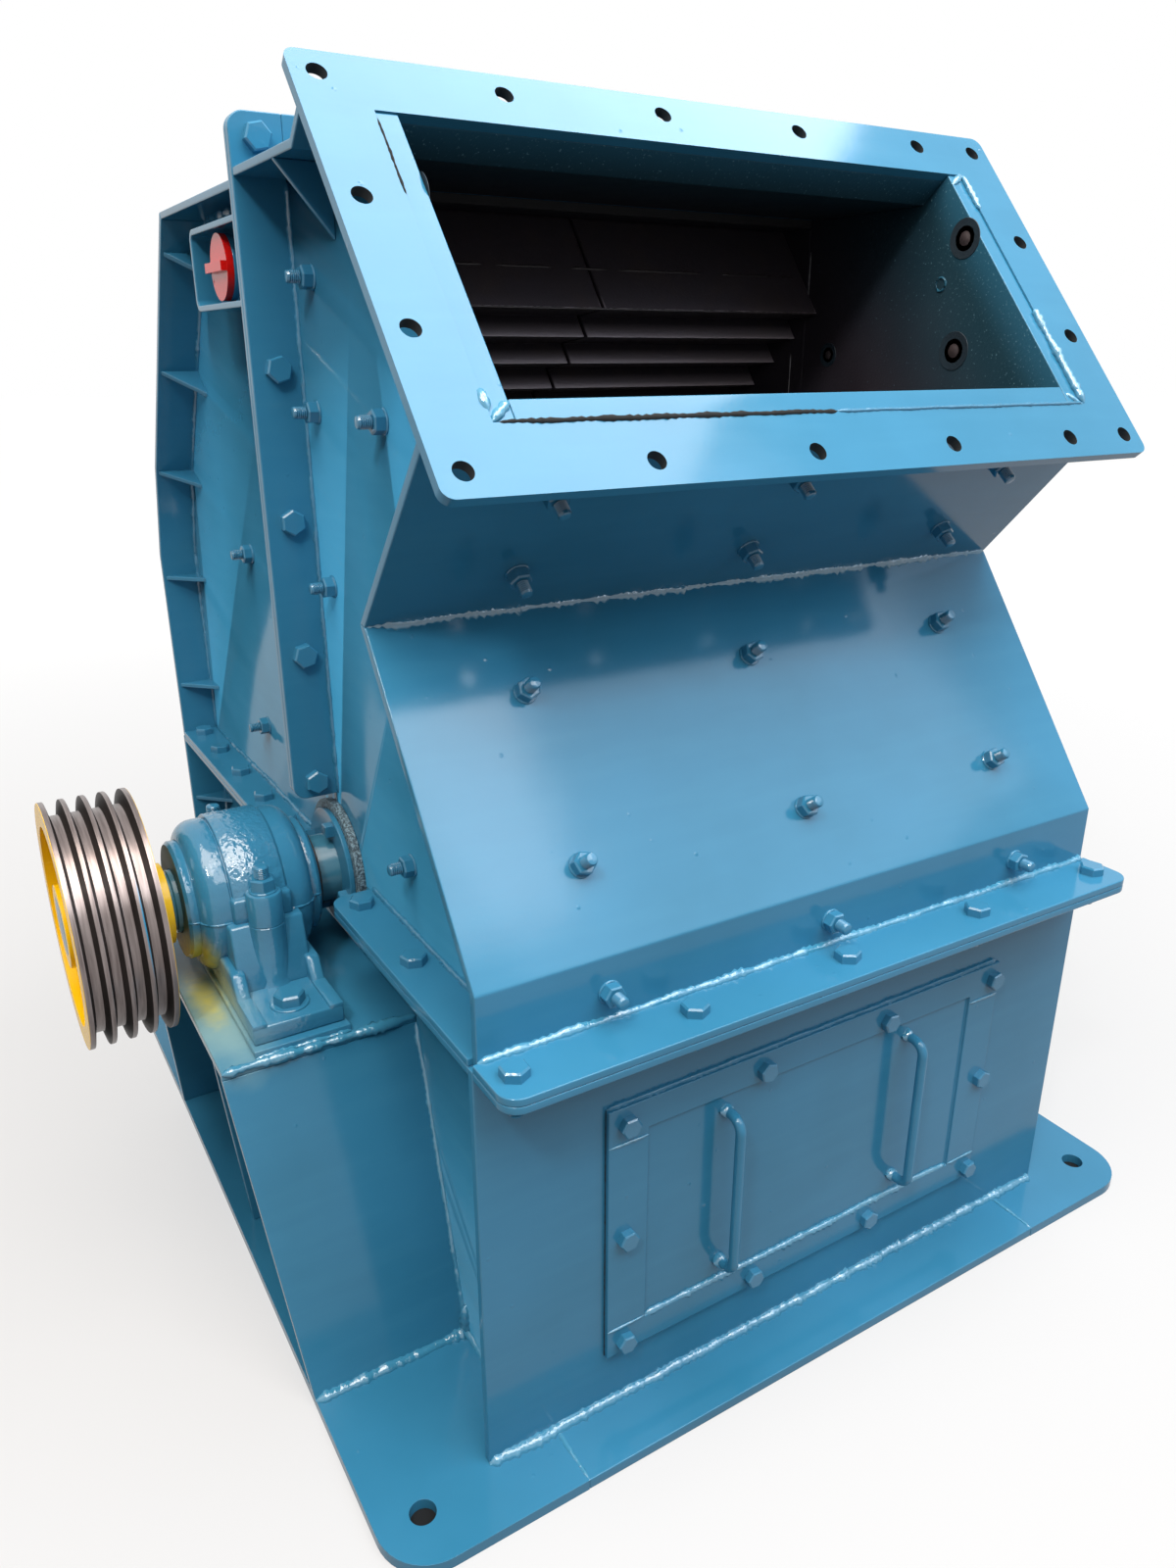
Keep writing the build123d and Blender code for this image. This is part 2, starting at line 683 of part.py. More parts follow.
def rotor():
    """Shaft with its steps, discs, hammer pins and hammers."""
    inner_end = bearing_offset - bearing_half_width - bearing_ring_length - shoulder_gap
    outer_end = bearing_offset + bearing_half_width + bearing_ring_length + shoulder_gap
    blind_end = bearing_offset + bearing_half_width - shaft_end_gap
    section = [
        (-pulley_outer_x, 0),
        (-pulley_outer_x, pulley_seat_radius),
        (-outer_end, pulley_seat_radius),
        (-outer_end, journal_radius),
        (-inner_end, journal_radius),
        (-inner_end, sleeve_radius),
        (-core_half, sleeve_radius),
        (-core_half, core_radius),
        (core_half, core_radius),
        (core_half, sleeve_radius),
        (inner_end, sleeve_radius),
        (inner_end, journal_radius),
        (blind_end, journal_radius),
        (blind_end, 0),
    ]
    save("rotor_shaft", turned(section))
    pin_half = (disc_pitch * (disc_count - 1) + disc_thickness) / 2 + pin_overhang
    pin_places = [360 * i / pin_count for i in range(pin_count)]
    pins = []
    for angle in pin_places:
        y = shaft_y + pin_circle_radius * cos(radians(angle))
        z = split_height + pin_circle_radius * sin(radians(angle))
        pins.append(drum(-pin_half, pin_half, pin_radius, y, z))
    save("hammer_pins", *pins)
    discs = []
    hammers = []
    for i in range(disc_count):
        x = disc_pitch * (i - (disc_count - 1) / 2)
        disc = drum(x - disc_thickness / 2, x + disc_thickness / 2, disc_radius)
        disc -= drum(x - disc_thickness, x + disc_thickness, core_radius)
        for pin in pins:
            disc -= pin
        discs.append(disc)
    for i in range(disc_count - 1):
        x = disc_pitch * (i + 1 - disc_count / 2)
        for angle, pin in zip(pin_places, pins):
            heel = pin_circle_radius - hammer_width / 2
            blank = Pos((heel + swing_radius) / 2, 0) * Rectangle(swing_radius - heel, hammer_width)
            blank = extrude(blank, amount=hammer_thickness / 2, both=True)
            turn = Pos(x, shaft_y, split_height) * Rot(angle, 0, 0) * Rot(0, 90, 0) * Rot(0, 0, 90)
            hammers.append(turn * blank - pin)
    save("rotor_discs", *discs)
    save("hammers", *hammers)


pulley_width = groove_pitch * (groove_count - 1) + 2 * groove_edge
hub_inner_x = bearing_offset + bearing_half_width + bearing_ring_length + pulley_gap
pulley_inner_x = hub_inner_x + hub_reach
pulley_outer_x = pulley_inner_x + pulley_width


def drive_pulley():
    """The grooved belt pulley: rim, drilled web and a hub that reaches towards the bearing."""
    rim = [(-pulley_outer_x, pulley_radius)]
    for i in range(groove_count):
        x = groove_edge + groove_pitch * i - pulley_outer_x
        floor = pulley_radius - groove_depth
        rim += [
            (x - groove_top_half, pulley_radius),
            (x - groove_floor_half, floor),
            (x + groove_floor_half, floor),
            (x + groove_top_half, pulley_radius),
        ]
    rim.append((-pulley_inner_x, pulley_radius))
    rim_bore = pulley_radius - groove_depth - rim_thickness
    web_x = -(pulley_inner_x + pulley_outer_x) / 2
    web_half = web_thickness / 2
    section = rim + [
        (-pulley_inner_x, rim_bore),
        (web_x + web_half, rim_bore),
        (web_x + web_half, hub_radius),
        (-hub_inner_x, hub_radius),
        (-hub_inner_x, pulley_seat_radius),
        (-pulley_outer_x, pulley_seat_radius),
        (-pulley_outer_x, hub_radius),
        (web_x - web_half, hub_radius),
        (web_x - web_half, rim_bore),
        (-pulley_outer_x, rim_bore),
    ]
    pulley = turned(section)
    ring = (rim_bore + hub_radius) / 2
    for i in range(web_hole_count):
        angle = radians(360 * i / web_hole_count)
        y = shaft_y + ring * cos(angle)
        z = split_height + ring * sin(angle)
        pulley -= drum(web_x - web_thickness, web_x + web_thickness, web_hole_radius, y, z)
    save("drive_pulley", pulley)


def side_port():
    """The capped port on the left rear wall, with a flat strap bent round it."""
    neck_x = -wall_outer - port_neck_length
    neck = drum(neck_x, -wall_outer, port_neck_radius, port_y, port_height)
    collar_x = neck_x + port_cover_thickness
    neck += drum(neck_x, collar_x, port_flange_radius, port_y, port_height)
    save("port_neck", neck)
    cover_x = neck_x - port_cover_thickness
    cover = drum(cover_x, neck_x, port_flange_radius, port_y, port_height)
    bar_half = port_bar_height / 2
    bar_y = (port_flange_radius ** 2 - bar_half ** 2) ** 0.5
    cover += slab(cover_x - port_bar_rise, cover_x, port_y - bar_y, port_y + bar_y,
                  port_height - bar_half, port_height + bar_half)
    save("port_cover", cover)
    back = port_y + guard_back
    out_x = -wall_outer - guard_reach
    low = port_height - guard_half_height
    high = port_height + guard_half_height
    strap = slab(out_x, -wall_outer, bar_rear_y, back, low, high)
    strap = fillet(strap.edges().filter_by(Axis.X).group_by(Axis.Y)[-1], guard_bend_radius)
    inner = slab(out_x, -wall_outer, bar_rear_y, back - guard_thickness,
                 low + guard_thickness, high - guard_thickness)
    bend = guard_bend_radius - guard_thickness
    strap -= fillet(inner.edges().filter_by(Axis.X).group_by(Axis.Y)[-1], bend)
    save("port_guard", strap)


base_frame()
lower_box()
level_flange("lower_flange", split_height - flange_thickness)
level_flange("upper_flange", split_height)
hood()
feed_flange()
split_frame("front_split", bar_front_y, shaft_y, roof_under)
split_frame("rear_split", shaft_y, bar_rear_y, rear_roof_under)
rear_housing()
rear_gussets()
liners()
breaker_plates()
inspection_cover()
pedestals()
bearings()
shaft_seals()
rotor()
drive_pulley()
side_port()
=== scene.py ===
"""Looks of a welded coal crusher: brushed enamel, weld beads, bolts, bearings and a belt pulley."""
import json
import logging
import math
import random
from dataclasses import dataclass, field
from enum import Enum
from typing import Iterable, Optional, Sequence

import bmesh
import bpy
from mathutils import Matrix, Vector
from mathutils import noise as hills


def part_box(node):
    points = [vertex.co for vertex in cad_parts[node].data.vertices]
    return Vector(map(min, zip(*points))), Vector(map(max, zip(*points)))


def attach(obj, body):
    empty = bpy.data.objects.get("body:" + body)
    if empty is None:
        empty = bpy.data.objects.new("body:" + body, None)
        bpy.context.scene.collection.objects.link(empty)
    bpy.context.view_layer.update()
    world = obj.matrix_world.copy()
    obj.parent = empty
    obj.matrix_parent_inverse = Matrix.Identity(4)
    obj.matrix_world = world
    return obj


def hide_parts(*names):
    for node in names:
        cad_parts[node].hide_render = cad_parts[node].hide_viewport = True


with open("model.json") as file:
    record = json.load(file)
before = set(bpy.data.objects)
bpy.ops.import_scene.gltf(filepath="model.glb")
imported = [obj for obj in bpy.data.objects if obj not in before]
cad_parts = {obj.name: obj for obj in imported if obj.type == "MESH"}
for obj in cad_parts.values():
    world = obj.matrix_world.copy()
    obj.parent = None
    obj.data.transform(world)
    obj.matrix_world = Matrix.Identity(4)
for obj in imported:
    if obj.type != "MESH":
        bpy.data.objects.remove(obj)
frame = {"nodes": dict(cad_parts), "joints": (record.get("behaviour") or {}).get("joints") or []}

LOG = logging.getLogger("crusher")
MM = 0.001
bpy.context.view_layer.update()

Socket = bpy.types.NodeSocket
Tree = bpy.types.NodeTree
Point = tuple[float, float, float]


class Body(Enum):
    """The bodies of the frame that a piece can ride on."""

    HOUSING = "housing"
    ROTOR = "rotor"


class Slot(Enum):
    """The record's material slots."""

    PAINT = "housing_paint"
    BEARING = "bearing_paint"
    PACKING = "packing"
    RED = "signal_red"
    LINER = "liner_steel"
    SHAFT = "shaft_steel"
    ROTOR = "rotor_steel"
    PULLEY = "pulley_iron"


# Finishes


def linear(code: str) -> tuple[float, float, float, float]:
    """Turn an sRGB hex colour to linear light.

    Args:
        code: the colour, such as "#2f6d8b".

    Returns:
        Red, green, blue and an alpha of 1.
    """
    parts = [int(code[i:i + 2], 16) / 255 for i in (1, 3, 5)]
    red, green, blue = [c / 12.92 if c <= 0.04045 else ((c + 0.055) / 1.055) ** 2.4 for c in parts]
    return red, green, blue, 1.0


def add(tree: Tree, kind: str, links: Optional[dict] = None, values: Optional[dict] = None,
        **settings) -> bpy.types.Node:
    """Add one node, with its settings, its input values and its links.

    Args:
        tree: the node tree that gets the node.
        kind: the node's type.
        links: the socket that feeds each input, by the input's name or number.
        values: the constant of each input, by the input's name or number.
        **settings: the node's own properties.

    Returns:
        The new node.
    """
    node = tree.nodes.new(kind)
    for name, value in settings.items():
        setattr(node, name, value)
    for key, value in (values or {}).items():
        node.inputs[key].default_value = value
    for key, socket in (links or {}).items():
        tree.links.new(socket, node.inputs[key])
    return node


@dataclass(frozen=True)
class Spray:
    """A patch of stray paint: where it landed, how far it reached and its colour."""

    centre: Point
    reach: Point
    colour: str
    cover: float = 0.9
    grain: float = 14 * MM


@dataclass(frozen=True)
class Finish:
    """A surface finish, which makes its material once."""

    name: str

    def shade(self, tree: Tree, surface: bpy.types.Node, place: Socket) -> None:
        """Wire the material's nodes.

        Args:
            tree: the material's node tree.
            surface: the principled shader.
            place: the object coordinates, in metres.
        """
        raise NotImplementedError

    def material(self) -> bpy.types.Material:
        """The material of this finish, made on the first call."""
        made = bpy.data.materials.get(self.name)
        if made is None:
            made = bpy.data.materials.new(self.name)
            made.use_nodes = True
            tree = made.node_tree
            place = add(tree, "ShaderNodeTexCoord").outputs["Object"]
            self.shade(tree, tree.nodes["Principled BSDF"], place)
        return made


def sprayed(tree: Tree, colour: Socket, place: Socket, sprays: Sequence[Spray]) -> Socket:
    """Lay patches of stray paint over a colour, dense in the middle and speckled at the rim.

    Args:
        tree: the material's node tree.
        colour: the colour underneath.
        place: the object coordinates.
        sprays: the patches.

    Returns:
        The colour with the patches on it.
    """
    for spray in sprays:
        away = add(tree, "ShaderNodeVectorMath", {0: place}, {1: spray.centre}, operation="SUBTRACT")
        share = add(tree, "ShaderNodeVectorMath", {0: away.outputs[0]}, {1: spray.reach}, operation="DIVIDE")
        far = add(tree, "ShaderNodeVectorMath", {0: share.outputs[0]}, operation="LENGTH")
        mist = add(tree, "ShaderNodeTexNoise", {"Vector": place}, {"Scale": 1 / spray.grain, "Detail": 3.0})
        drift = add(tree, "ShaderNodeMapRange", {"Value": mist.outputs["Fac"]}, {"To Min": -0.1, "To Max": 0.2})
        edge = add(tree, "ShaderNodeMath", {0: far.outputs["Value"], 1: drift.outputs[0]}, operation="ADD")
        cover = add(tree, "ShaderNodeMapRange", {"Value": edge.outputs[0]},
                    {"From Min": 1.1, "From Max": 0.3, "To Min": 0.0, "To Max": spray.cover},
                    interpolation_type="SMOOTHSTEP")
        mix = add(tree, "ShaderNodeMix", {0: cover.outputs[0], 6: colour}, {7: linear(spray.colour)},
                  data_type="RGBA")
        colour = mix.outputs[2]
    return colour


@dataclass(frozen=True)
class Enamel(Finish):
    """Alkyd enamel brushed on steel plate: a wet gloss over brush marks, spatter and a wavy sheet."""

    base: str = "#317394"
    deep: str = "#2a6a88"
    pale: str = "#4789a5"
    gloss: float = 0.13
    index: float = 1.4
    wave: float = 1.8 * MM
    skin: float = 0.035 * MM
    skin_grain: float = 6 * MM
    brush: float = 0.02 * MM
    spatter: float = 0.5 * MM
    sprays: tuple[Spray, ...] = ()

    def shade(self, tree: Tree, surface: bpy.types.Node, place: Socket) -> None:
        """Drifting colour, streaked gloss, and bump from the sheet, the brush, spatter and the paint skin."""
        drift = add(tree, "ShaderNodeTexNoise", {"Vector": place}, {"Scale": 1 / 0.34, "Detail": 4.0})
        across = add(tree, "ShaderNodeMapping", {"Vector": place}, {"Scale": (5.0, 5.0, 45.0)})
        streak = add(tree, "ShaderNodeTexNoise", {"Vector": across.outputs[0]}, {"Scale": 1.0, "Detail": 3.0})
        dark = add(tree, "ShaderNodeMapRange", {"Value": drift.outputs["Fac"]},
                   {"From Min": 0.32, "From Max": 0.62})
        body = add(tree, "ShaderNodeMix", {0: dark.outputs[0]}, {6: linear(self.deep), 7: linear(self.base)},
                   data_type="RGBA")
        thin = add(tree, "ShaderNodeMapRange", {"Value": streak.outputs["Fac"]},
                   {"From Min": 0.45, "From Max": 0.85, "To Max": 0.12})
        coat = add(tree, "ShaderNodeMix", {0: thin.outputs[0], 6: body.outputs[2]}, {7: linear(self.pale)},
                   data_type="RGBA")
        tree.links.new(sprayed(tree, coat.outputs[2], place, self.sprays), surface.inputs["Base Color"])
        sheen = add(tree, "ShaderNodeMapRange", {"Value": streak.outputs["Fac"]},
                    {"From Min": 0.3, "From Max": 0.8, "To Min": self.gloss * 0.9, "To Max": self.gloss * 1.15})
        tree.links.new(sheen.outputs[0], surface.inputs["Roughness"])
        sheet = add(tree, "ShaderNodeTexNoise", {"Vector": place}, {"Scale": 1 / 0.3, "Detail": 2.5})
        grit = add(tree, "ShaderNodeTexVoronoi", {"Vector": place}, {"Scale": 1 / 0.045})
        bead = add(tree, "ShaderNodeMapRange", {"Value": grit.outputs["Distance"]},
                   {"From Min": 0.07, "From Max": 0.0})
        peel = add(tree, "ShaderNodeTexNoise", {"Vector": place}, {"Scale": 1 / self.skin_grain, "Detail": 2.0})
        normal = None
        for height, depth in ((sheet.outputs["Fac"], self.wave), (streak.outputs["Fac"], self.brush),
                              (bead.outputs[0], self.spatter), (peel.outputs["Fac"], self.skin)):
            under = {"Height": height} if normal is None else {"Height": height, "Normal": normal}
            normal = add(tree, "ShaderNodeBump", under, {"Distance": depth, "Strength": 1.0}).outputs[0]
        tree.links.new(normal, surface.inputs["Normal"])
        surface.inputs["IOR"].default_value = self.index


@dataclass(frozen=True)
class WearPlate(Finish):
    """Rolled liner steel with mill scale, dulled by a film of paint near the mouth and bare deeper in."""

    base: str = "#2a262c"
    scale: str = "#363138"
    film: str = "#1a3844"
    overspray: str = "#25566c"
    mist: str = "#6f97a6"
    mouth: Point = (0.0, -0.4817, 1.3926)
    outward: Point = (0.0, -0.7627, 0.6468)
    film_reach: float = 0.3
    spray_reach: float = 0.06
    mist_reach: float = 0.42
    shine: float = 0.2

    def shade(self, tree: Tree, surface: bpy.types.Node, place: Socket) -> None:
        """Blotched scale, with paint specks that thin out with the depth behind the mouth."""
        blotch = add(tree, "ShaderNodeTexNoise", {"Vector": place}, {"Scale": 1 / 0.07, "Detail": 6.0})
        steel = add(tree, "ShaderNodeMix", {0: blotch.outputs["Fac"]},
                    {6: linear(self.base), 7: linear(self.scale)}, data_type="RGBA")
        away = add(tree, "ShaderNodeVectorMath", {0: place}, {1: self.mouth}, operation="SUBTRACT")
        depth = add(tree, "ShaderNodeVectorMath", {0: away.outputs[0]}, {1: self.outward},
                    operation="DOT_PRODUCT")
        filmed = add(tree, "ShaderNodeMapRange", {"Value": depth.outputs["Value"]},
                     {"From Min": -self.film_reach, "From Max": -0.03}, interpolation_type="SMOOTHSTEP")
        skin = add(tree, "ShaderNodeMix", {0: filmed.outputs[0], 6: steel.outputs[2]}, {7: linear(self.film)},
                   data_type="RGBA")
        lip = add(tree, "ShaderNodeMapRange", {"Value": depth.outputs["Value"]},
                  {"From Min": -self.spray_reach, "From Max": 0.0}, interpolation_type="SMOOTHSTEP")
        skin = add(tree, "ShaderNodeMix", {0: lip.outputs[0], 6: skin.outputs[2]}, {7: linear(self.overspray)},
                   data_type="RGBA")
        near = add(tree, "ShaderNodeMapRange", {"Value": depth.outputs["Value"]},
                   {"From Min": -self.mist_reach, "From Max": 0.0, "To Min": 0.0, "To Max": 0.15})
        dots = add(tree, "ShaderNodeTexNoise", {"Vector": place}, {"Scale": 1 / 0.0035, "Detail": 2.0})
        drop = add(tree, "ShaderNodeMath", {0: dots.outputs["Fac"], 1: near.outputs[0]}, operation="ADD")
        cover = add(tree, "ShaderNodeMapRange", {"Value": drop.outputs[0]},
                    {"From Min": 0.78, "From Max": 0.95, "To Max": 0.9})
        mix = add(tree, "ShaderNodeMix", {0: cover.outputs[0], 6: skin.outputs[2]}, {7: linear(self.mist)},
                  data_type="RGBA")
        tree.links.new(mix.outputs[2], surface.inputs["Base Color"])
        rough = add(tree, "ShaderNodeMapRange", {"Value": blotch.outputs["Fac"]},
                    {"To Min": 0.4, "To Max": 0.7})
        tree.links.new(rough.outputs[0], surface.inputs["Roughness"])
        surface.inputs["Specular IOR Level"].default_value = self.shine
        bump = add(tree, "ShaderNodeBump", {"Height": dots.outputs["Fac"]}, {"Distance": 0.3 * MM})
        tree.links.new(bump.outputs[0], surface.inputs["Normal"])


@dataclass(frozen=True)
class CastIron(Finish):
    """Rough cast iron or forged steel: a dull dark skin with brown bloom and a sandy grain."""

    base: str = "#191614"
    bloom: str = "#33241b"
    rough: float = 0.62
    grain: float = 4 * MM
    wear_and_highlight: str = ""
    tips: Point = (0.0, -0.111, 1.369)
    from_tips: Point = (0.0, 0.6018, 0.7986)
    wear_and_highlight_reach: float = 26 * MM

    def shade(self, tree: Tree, surface: bpy.types.Node, place: Socket) -> None:
        """Brown patches on a dark skin, with the grain of the mould, and tips made lighter, from wear and as a painted
        highlight, where there are any.
        """
        patch = add(tree, "ShaderNodeTexNoise", {"Vector": place}, {"Scale": 1 / 0.06, "Detail": 7.0})
        brown = add(tree, "ShaderNodeMapRange", {"Value": patch.outputs["Fac"]},
                    {"From Min": 0.5, "From Max": 0.75, "To Max": 0.8})
        mix = add(tree, "ShaderNodeMix", {0: brown.outputs[0]}, {6: linear(self.base), 7: linear(self.bloom)},
                  data_type="RGBA")
        # Lighter tips: wear together with a painted highlight.
        if self.wear_and_highlight:
            away = add(tree, "ShaderNodeVectorMath", {0: place}, {1: self.tips}, operation="SUBTRACT")
            depth = add(tree, "ShaderNodeVectorMath", {0: away.outputs[0]}, {1: self.from_tips},
                        operation="DOT_PRODUCT")
            near = add(tree, "ShaderNodeMapRange", {"Value": depth.outputs["Value"]},
                       {"From Min": self.wear_and_highlight_reach, "From Max": 0.0})
            mix = add(tree, "ShaderNodeMix", {0: near.outputs[0], 6: mix.outputs[2]}, {7: linear(self.wear_and_highlight)},
                      data_type="RGBA")
        tree.links.new(mix.outputs[2], surface.inputs["Base Color"])
        sand = add(tree, "ShaderNodeTexNoise", {"Vector": place}, {"Scale": 1 / self.grain, "Detail": 3.0})
        bump = add(tree, "ShaderNodeBump", {"Height": sand.outputs["Fac"]}, {"Distance": 0.5 * MM})
        tree.links.new(bump.outputs[0], surface.inputs["Normal"])
        surface.inputs["Roughness"].default_value = self.rough


@dataclass(frozen=True)
class TurnedIron(Finish):
    """Lathe-turned iron, dry and grey: fine tool rings under a brown film of dirt."""

    bright: str = "#8f8583"
    dirt_and_shade: str = "#6c6260"
    rough: float = 0.3
    metal: float = 0.8
    ring_pitch: float = 1.6 * MM
    sprays: tuple[Spray, ...] = ()

    def shade(self, tree: Tree, surface: bpy.types.Node, place: Socket) -> None:
        """Smeared metal; the tool rings are drawn coarse enough to show."""
        round_axis = add(tree, "ShaderNodeMapping", {"Vector": place}, {"Scale": (1 / 0.004, 1 / 0.06, 1 / 0.06)})
        smear = add(tree, "ShaderNodeTexNoise", {"Vector": round_axis.outputs[0]}, {"Scale": 1.0, "Detail": 3.0})
        lift = add(tree, "ShaderNodeMapRange", {"Value": smear.outputs["Fac"]},
                   {"From Min": 0.3, "From Max": 0.65})
        mix = add(tree, "ShaderNodeMix", {0: lift.outputs[0]}, {6: linear(self.dirt_and_shade), 7: linear(self.bright)},
                  data_type="RGBA")
        tree.links.new(sprayed(tree, mix.outputs[2], place, self.sprays), surface.inputs["Base Color"])
        rings = add(tree, "ShaderNodeTexWave", {"Vector": place},
                    {"Scale": 1 / self.ring_pitch / 20, "Distortion": 0.4}, bands_direction="X")
        bump = add(tree, "ShaderNodeBump", {"Height": rings.outputs["Fac"]}, {"Distance": 0.05 * MM})
        tree.links.new(bump.outputs[0], surface.inputs["Normal"])
        surface.inputs["Metallic"].default_value = self.metal
        surface.inputs["Roughness"].default_value = self.rough


@dataclass(frozen=True)
class FibrePacking(Finish):
    """Chopped fibre gland packing, greased: black and pale flecks with a ragged nap."""

    dark: str = "#283a44"
    fleck: str = "#7d9aa6"
    fibre: float = 3.5 * MM

    def shade(self, tree: Tree, surface: bpy.types.Node, place: Socket) -> None:
        """Pale flecks scattered over the dark grease, raised as fibres."""
        nap = add(tree, "ShaderNodeTexNoise", {"Vector": place},
                  {"Scale": 1 / self.fibre, "Detail": 6.0, "Roughness": 0.7})
        pale = add(tree, "ShaderNodeMapRange", {"Value": nap.outputs["Fac"]},
                   {"From Min": 0.44, "From Max": 0.6})
        mix = add(tree, "ShaderNodeMix", {0: pale.outputs[0]}, {6: linear(self.dark), 7: linear(self.fleck)},
                  data_type="RGBA")
        tree.links.new(mix.outputs[2], surface.inputs["Base Color"])
        bump = add(tree, "ShaderNodeBump", {"Height": nap.outputs["Fac"]}, {"Distance": 2 * MM})
        tree.links.new(bump.outputs[0], surface.inputs["Normal"])
        surface.inputs["Roughness"].default_value = 0.5


YELLOW = "#f3c60c"
HUB_SPRAYS = (
    Spray((-0.672, -0.20, 0.475), (0.08, 0.2, 0.06), "#9db9b0", 0.5, 30 * MM),
    Spray((-0.676, -0.15, 0.515), (0.032, 0.13, 0.075), "#d8c828", 0.85),
)

PLATE_ENAMEL = Enamel("brushed_enamel_on_plate")
BOLT_ENAMEL = Enamel("enamel_on_fasteners", gloss=0.11, index=1.55, wave=0.2 * MM, spatter=0.1 * MM,
                     skin=0.12 * MM, skin_grain=4 * MM)
# Weld-bead enamel, lighter than the plate enamel: a painted highlight.
LIT_WELD_ENAMEL = Enamel("enamel_on_weld_beads", base="#3b819f", deep="#317594", pale="#6aa4ba", gloss=0.06,
                     index=1.9, wave=0.3 * MM, skin=0.7 * MM, skin_grain=5 * MM)
FILLET_ENAMEL = Enamel("enamel_on_fillet_welds", gloss=0.08, index=1.6, wave=0.3 * MM, skin=0.7 * MM,
                       skin_grain=5 * MM)
CAST_ENAMEL = Enamel("enamel_on_castings", gloss=0.11, index=1.6, wave=0.8 * MM, skin=0.5 * MM,
                     skin_grain=7 * MM, sprays=HUB_SPRAYS)
BAND_ENAMEL = Enamel("enamel_on_rough_cast_band", gloss=0.09, index=1.75, wave=0.8 * MM, skin=2.4 * MM,
                     skin_grain=9 * MM)
END_ENAMEL = Enamel("dull_enamel_on_bearing_ends", base="#2f4d55", deep="#274149", pale="#4a6258", gloss=0.45,
                    wave=0.0, sprays=HUB_SPRAYS)
OVERSPRAY = Enamel("thin_overspray_on_liner", base="#27566b", deep="#224d60", pale="#3a6a7e", gloss=0.3)
STAND_ENAMEL = Enamel("enamel_on_bearing_stands", sprays=HUB_SPRAYS)
SLEEVE_ENAMEL = Enamel("thin_enamel_on_shaft", base="#3a7288", deep="#31667c", pale="#87a0a9", gloss=0.2,
                       wave=0.0, brush=0.08 * MM)
YELLOW_ENAMEL = Enamel("chrome_yellow_enamel", base=YELLOW, deep="#e9b400", pale="#ffdb2e", gloss=0.25,
                       wave=0.6 * MM)
RED_ENAMEL = Enamel("signal_red_enamel", base="#c9130f", deep="#a90d0b", pale="#d92a22", gloss=0.2,
                    wave=0.3 * MM)
LINER_STEEL = WearPlate("rolled_liner_steel")
BREAKER_IRON = CastIron("cast_breaker_iron", base="#413a40", bloom="#483e3e", rough=0.5)
# Breaker ledges with tips lightened by wear and a painted highlight.
LIT_LEDGE_IRON = CastIron("worn_breaker_ledges", base="#413a40", bloom="#4d4342", rough=0.4, wear_and_highlight="#a0959b")
BOLT_IRON = CastIron("worn_bolt_heads", base="#352f31", bloom="#413838", rough=0.4)
# Near-black step under the roof: painted shade.
STEP_SHADE = CastIron("sooty_step_under_the_roof", base="#121012", bloom="#181516", rough=0.8)
BARE_EDGE = CastIron("bare_plate_edges", base="#8d8a8c", bloom="#7b7473", rough=0.4)
# Dark bolt recess: painted shade on a shallow dished ring.
RECESS_SHADE = CastIron("dark_bolt_recess", base="#10202a", bloom="#142833", rough=0.6)
ROTOR_STEEL = CastIron("forged_rotor_steel", base="#2a2725", bloom="#4a3324", rough=0.5)
SEAL_GREASE = CastIron("greasy_shaft_seal", base="#14110f", bloom="#2c1f18", rough=0.45, grain=2 * MM)
RIM_IRON = TurnedIron("turned_iron_rim",
                      sprays=(Spray((-0.748, -0.235, 0.64), (0.003, 0.05, 0.075), "#1f86ad", 0.95, 30 * MM),))
# Dark groove walls: dirt together with painted shade.
GROOVE_DIRT_AND_SHADE = TurnedIron("dirty_groove_walls", bright="#2c2624", dirt_and_shade="#181412", rough=0.5, metal=0.5)
# Near-black hole walls: painted shade of the deep drilled holes.
HOLE_SHADE = CastIron("dirt_in_drilled_holes", base="#0c1418", bloom="#121c20", rough=0.8)
# Near-black lines: painted shade in the open joints between plates.
JOINT_SHADE = CastIron("dirt_in_open_joints", base="#030506", bloom="#06090a", rough=0.95)
PACKING_FIBRE = FibrePacking("gland_packing")


# Making meshes


def publish(name: str, bm: bmesh.types.BMesh, finishes: Sequence[Finish],
            body: Body = Body.HOUSING, replaces: Iterable[str] = (), sharp: float = 34.0,
            weighted: bool = False) -> bpy.types.Object:
    """Turn a finished mesh into a piece that rides on a body.

    Args:
        name: the piece's name.
        bm: the mesh, in place, which is used up.
        finishes: the finishes, in the order of the faces' material numbers.
        body: the body that carries the piece.
        replaces: the frame's nodes that the piece stands for.
        sharp: the angle in degrees past which an edge stays sharp.
        weighted: whether flat faces keep their own shading beside small bevels.

    Returns:
        The new object.
    """
    mesh = bpy.data.meshes.new(name)
    bm.to_mesh(mesh)
    bm.free()
    for finish in finishes:
        mesh.materials.append(finish.material())
    mesh.shade_smooth()
    mesh.set_sharp_from_angle(angle=math.radians(sharp))
    piece = bpy.data.objects.new(name, mesh)
    bpy.context.scene.collection.objects.link(piece)
    if weighted:
        modifier = piece.modifiers.new("flat_faces", "WEIGHTED_NORMAL")
        modifier.keep_sharp = True
    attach(piece, body.value)
    if replaces:
        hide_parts(*replaces)
    LOG.info("%s: %d faces", name, len(mesh.polygons))
    return piece


def clean(bm: bmesh.types.BMesh, gap: float = 0.01 * MM) -> bmesh.types.BMesh:
    """Merge doubled points and turn the faces outwards."""
    bmesh.ops.remove_doubles(bm, verts=bm.verts, dist=gap)
    bmesh.ops.recalc_face_normals(bm, faces=bm.faces)
    return bm


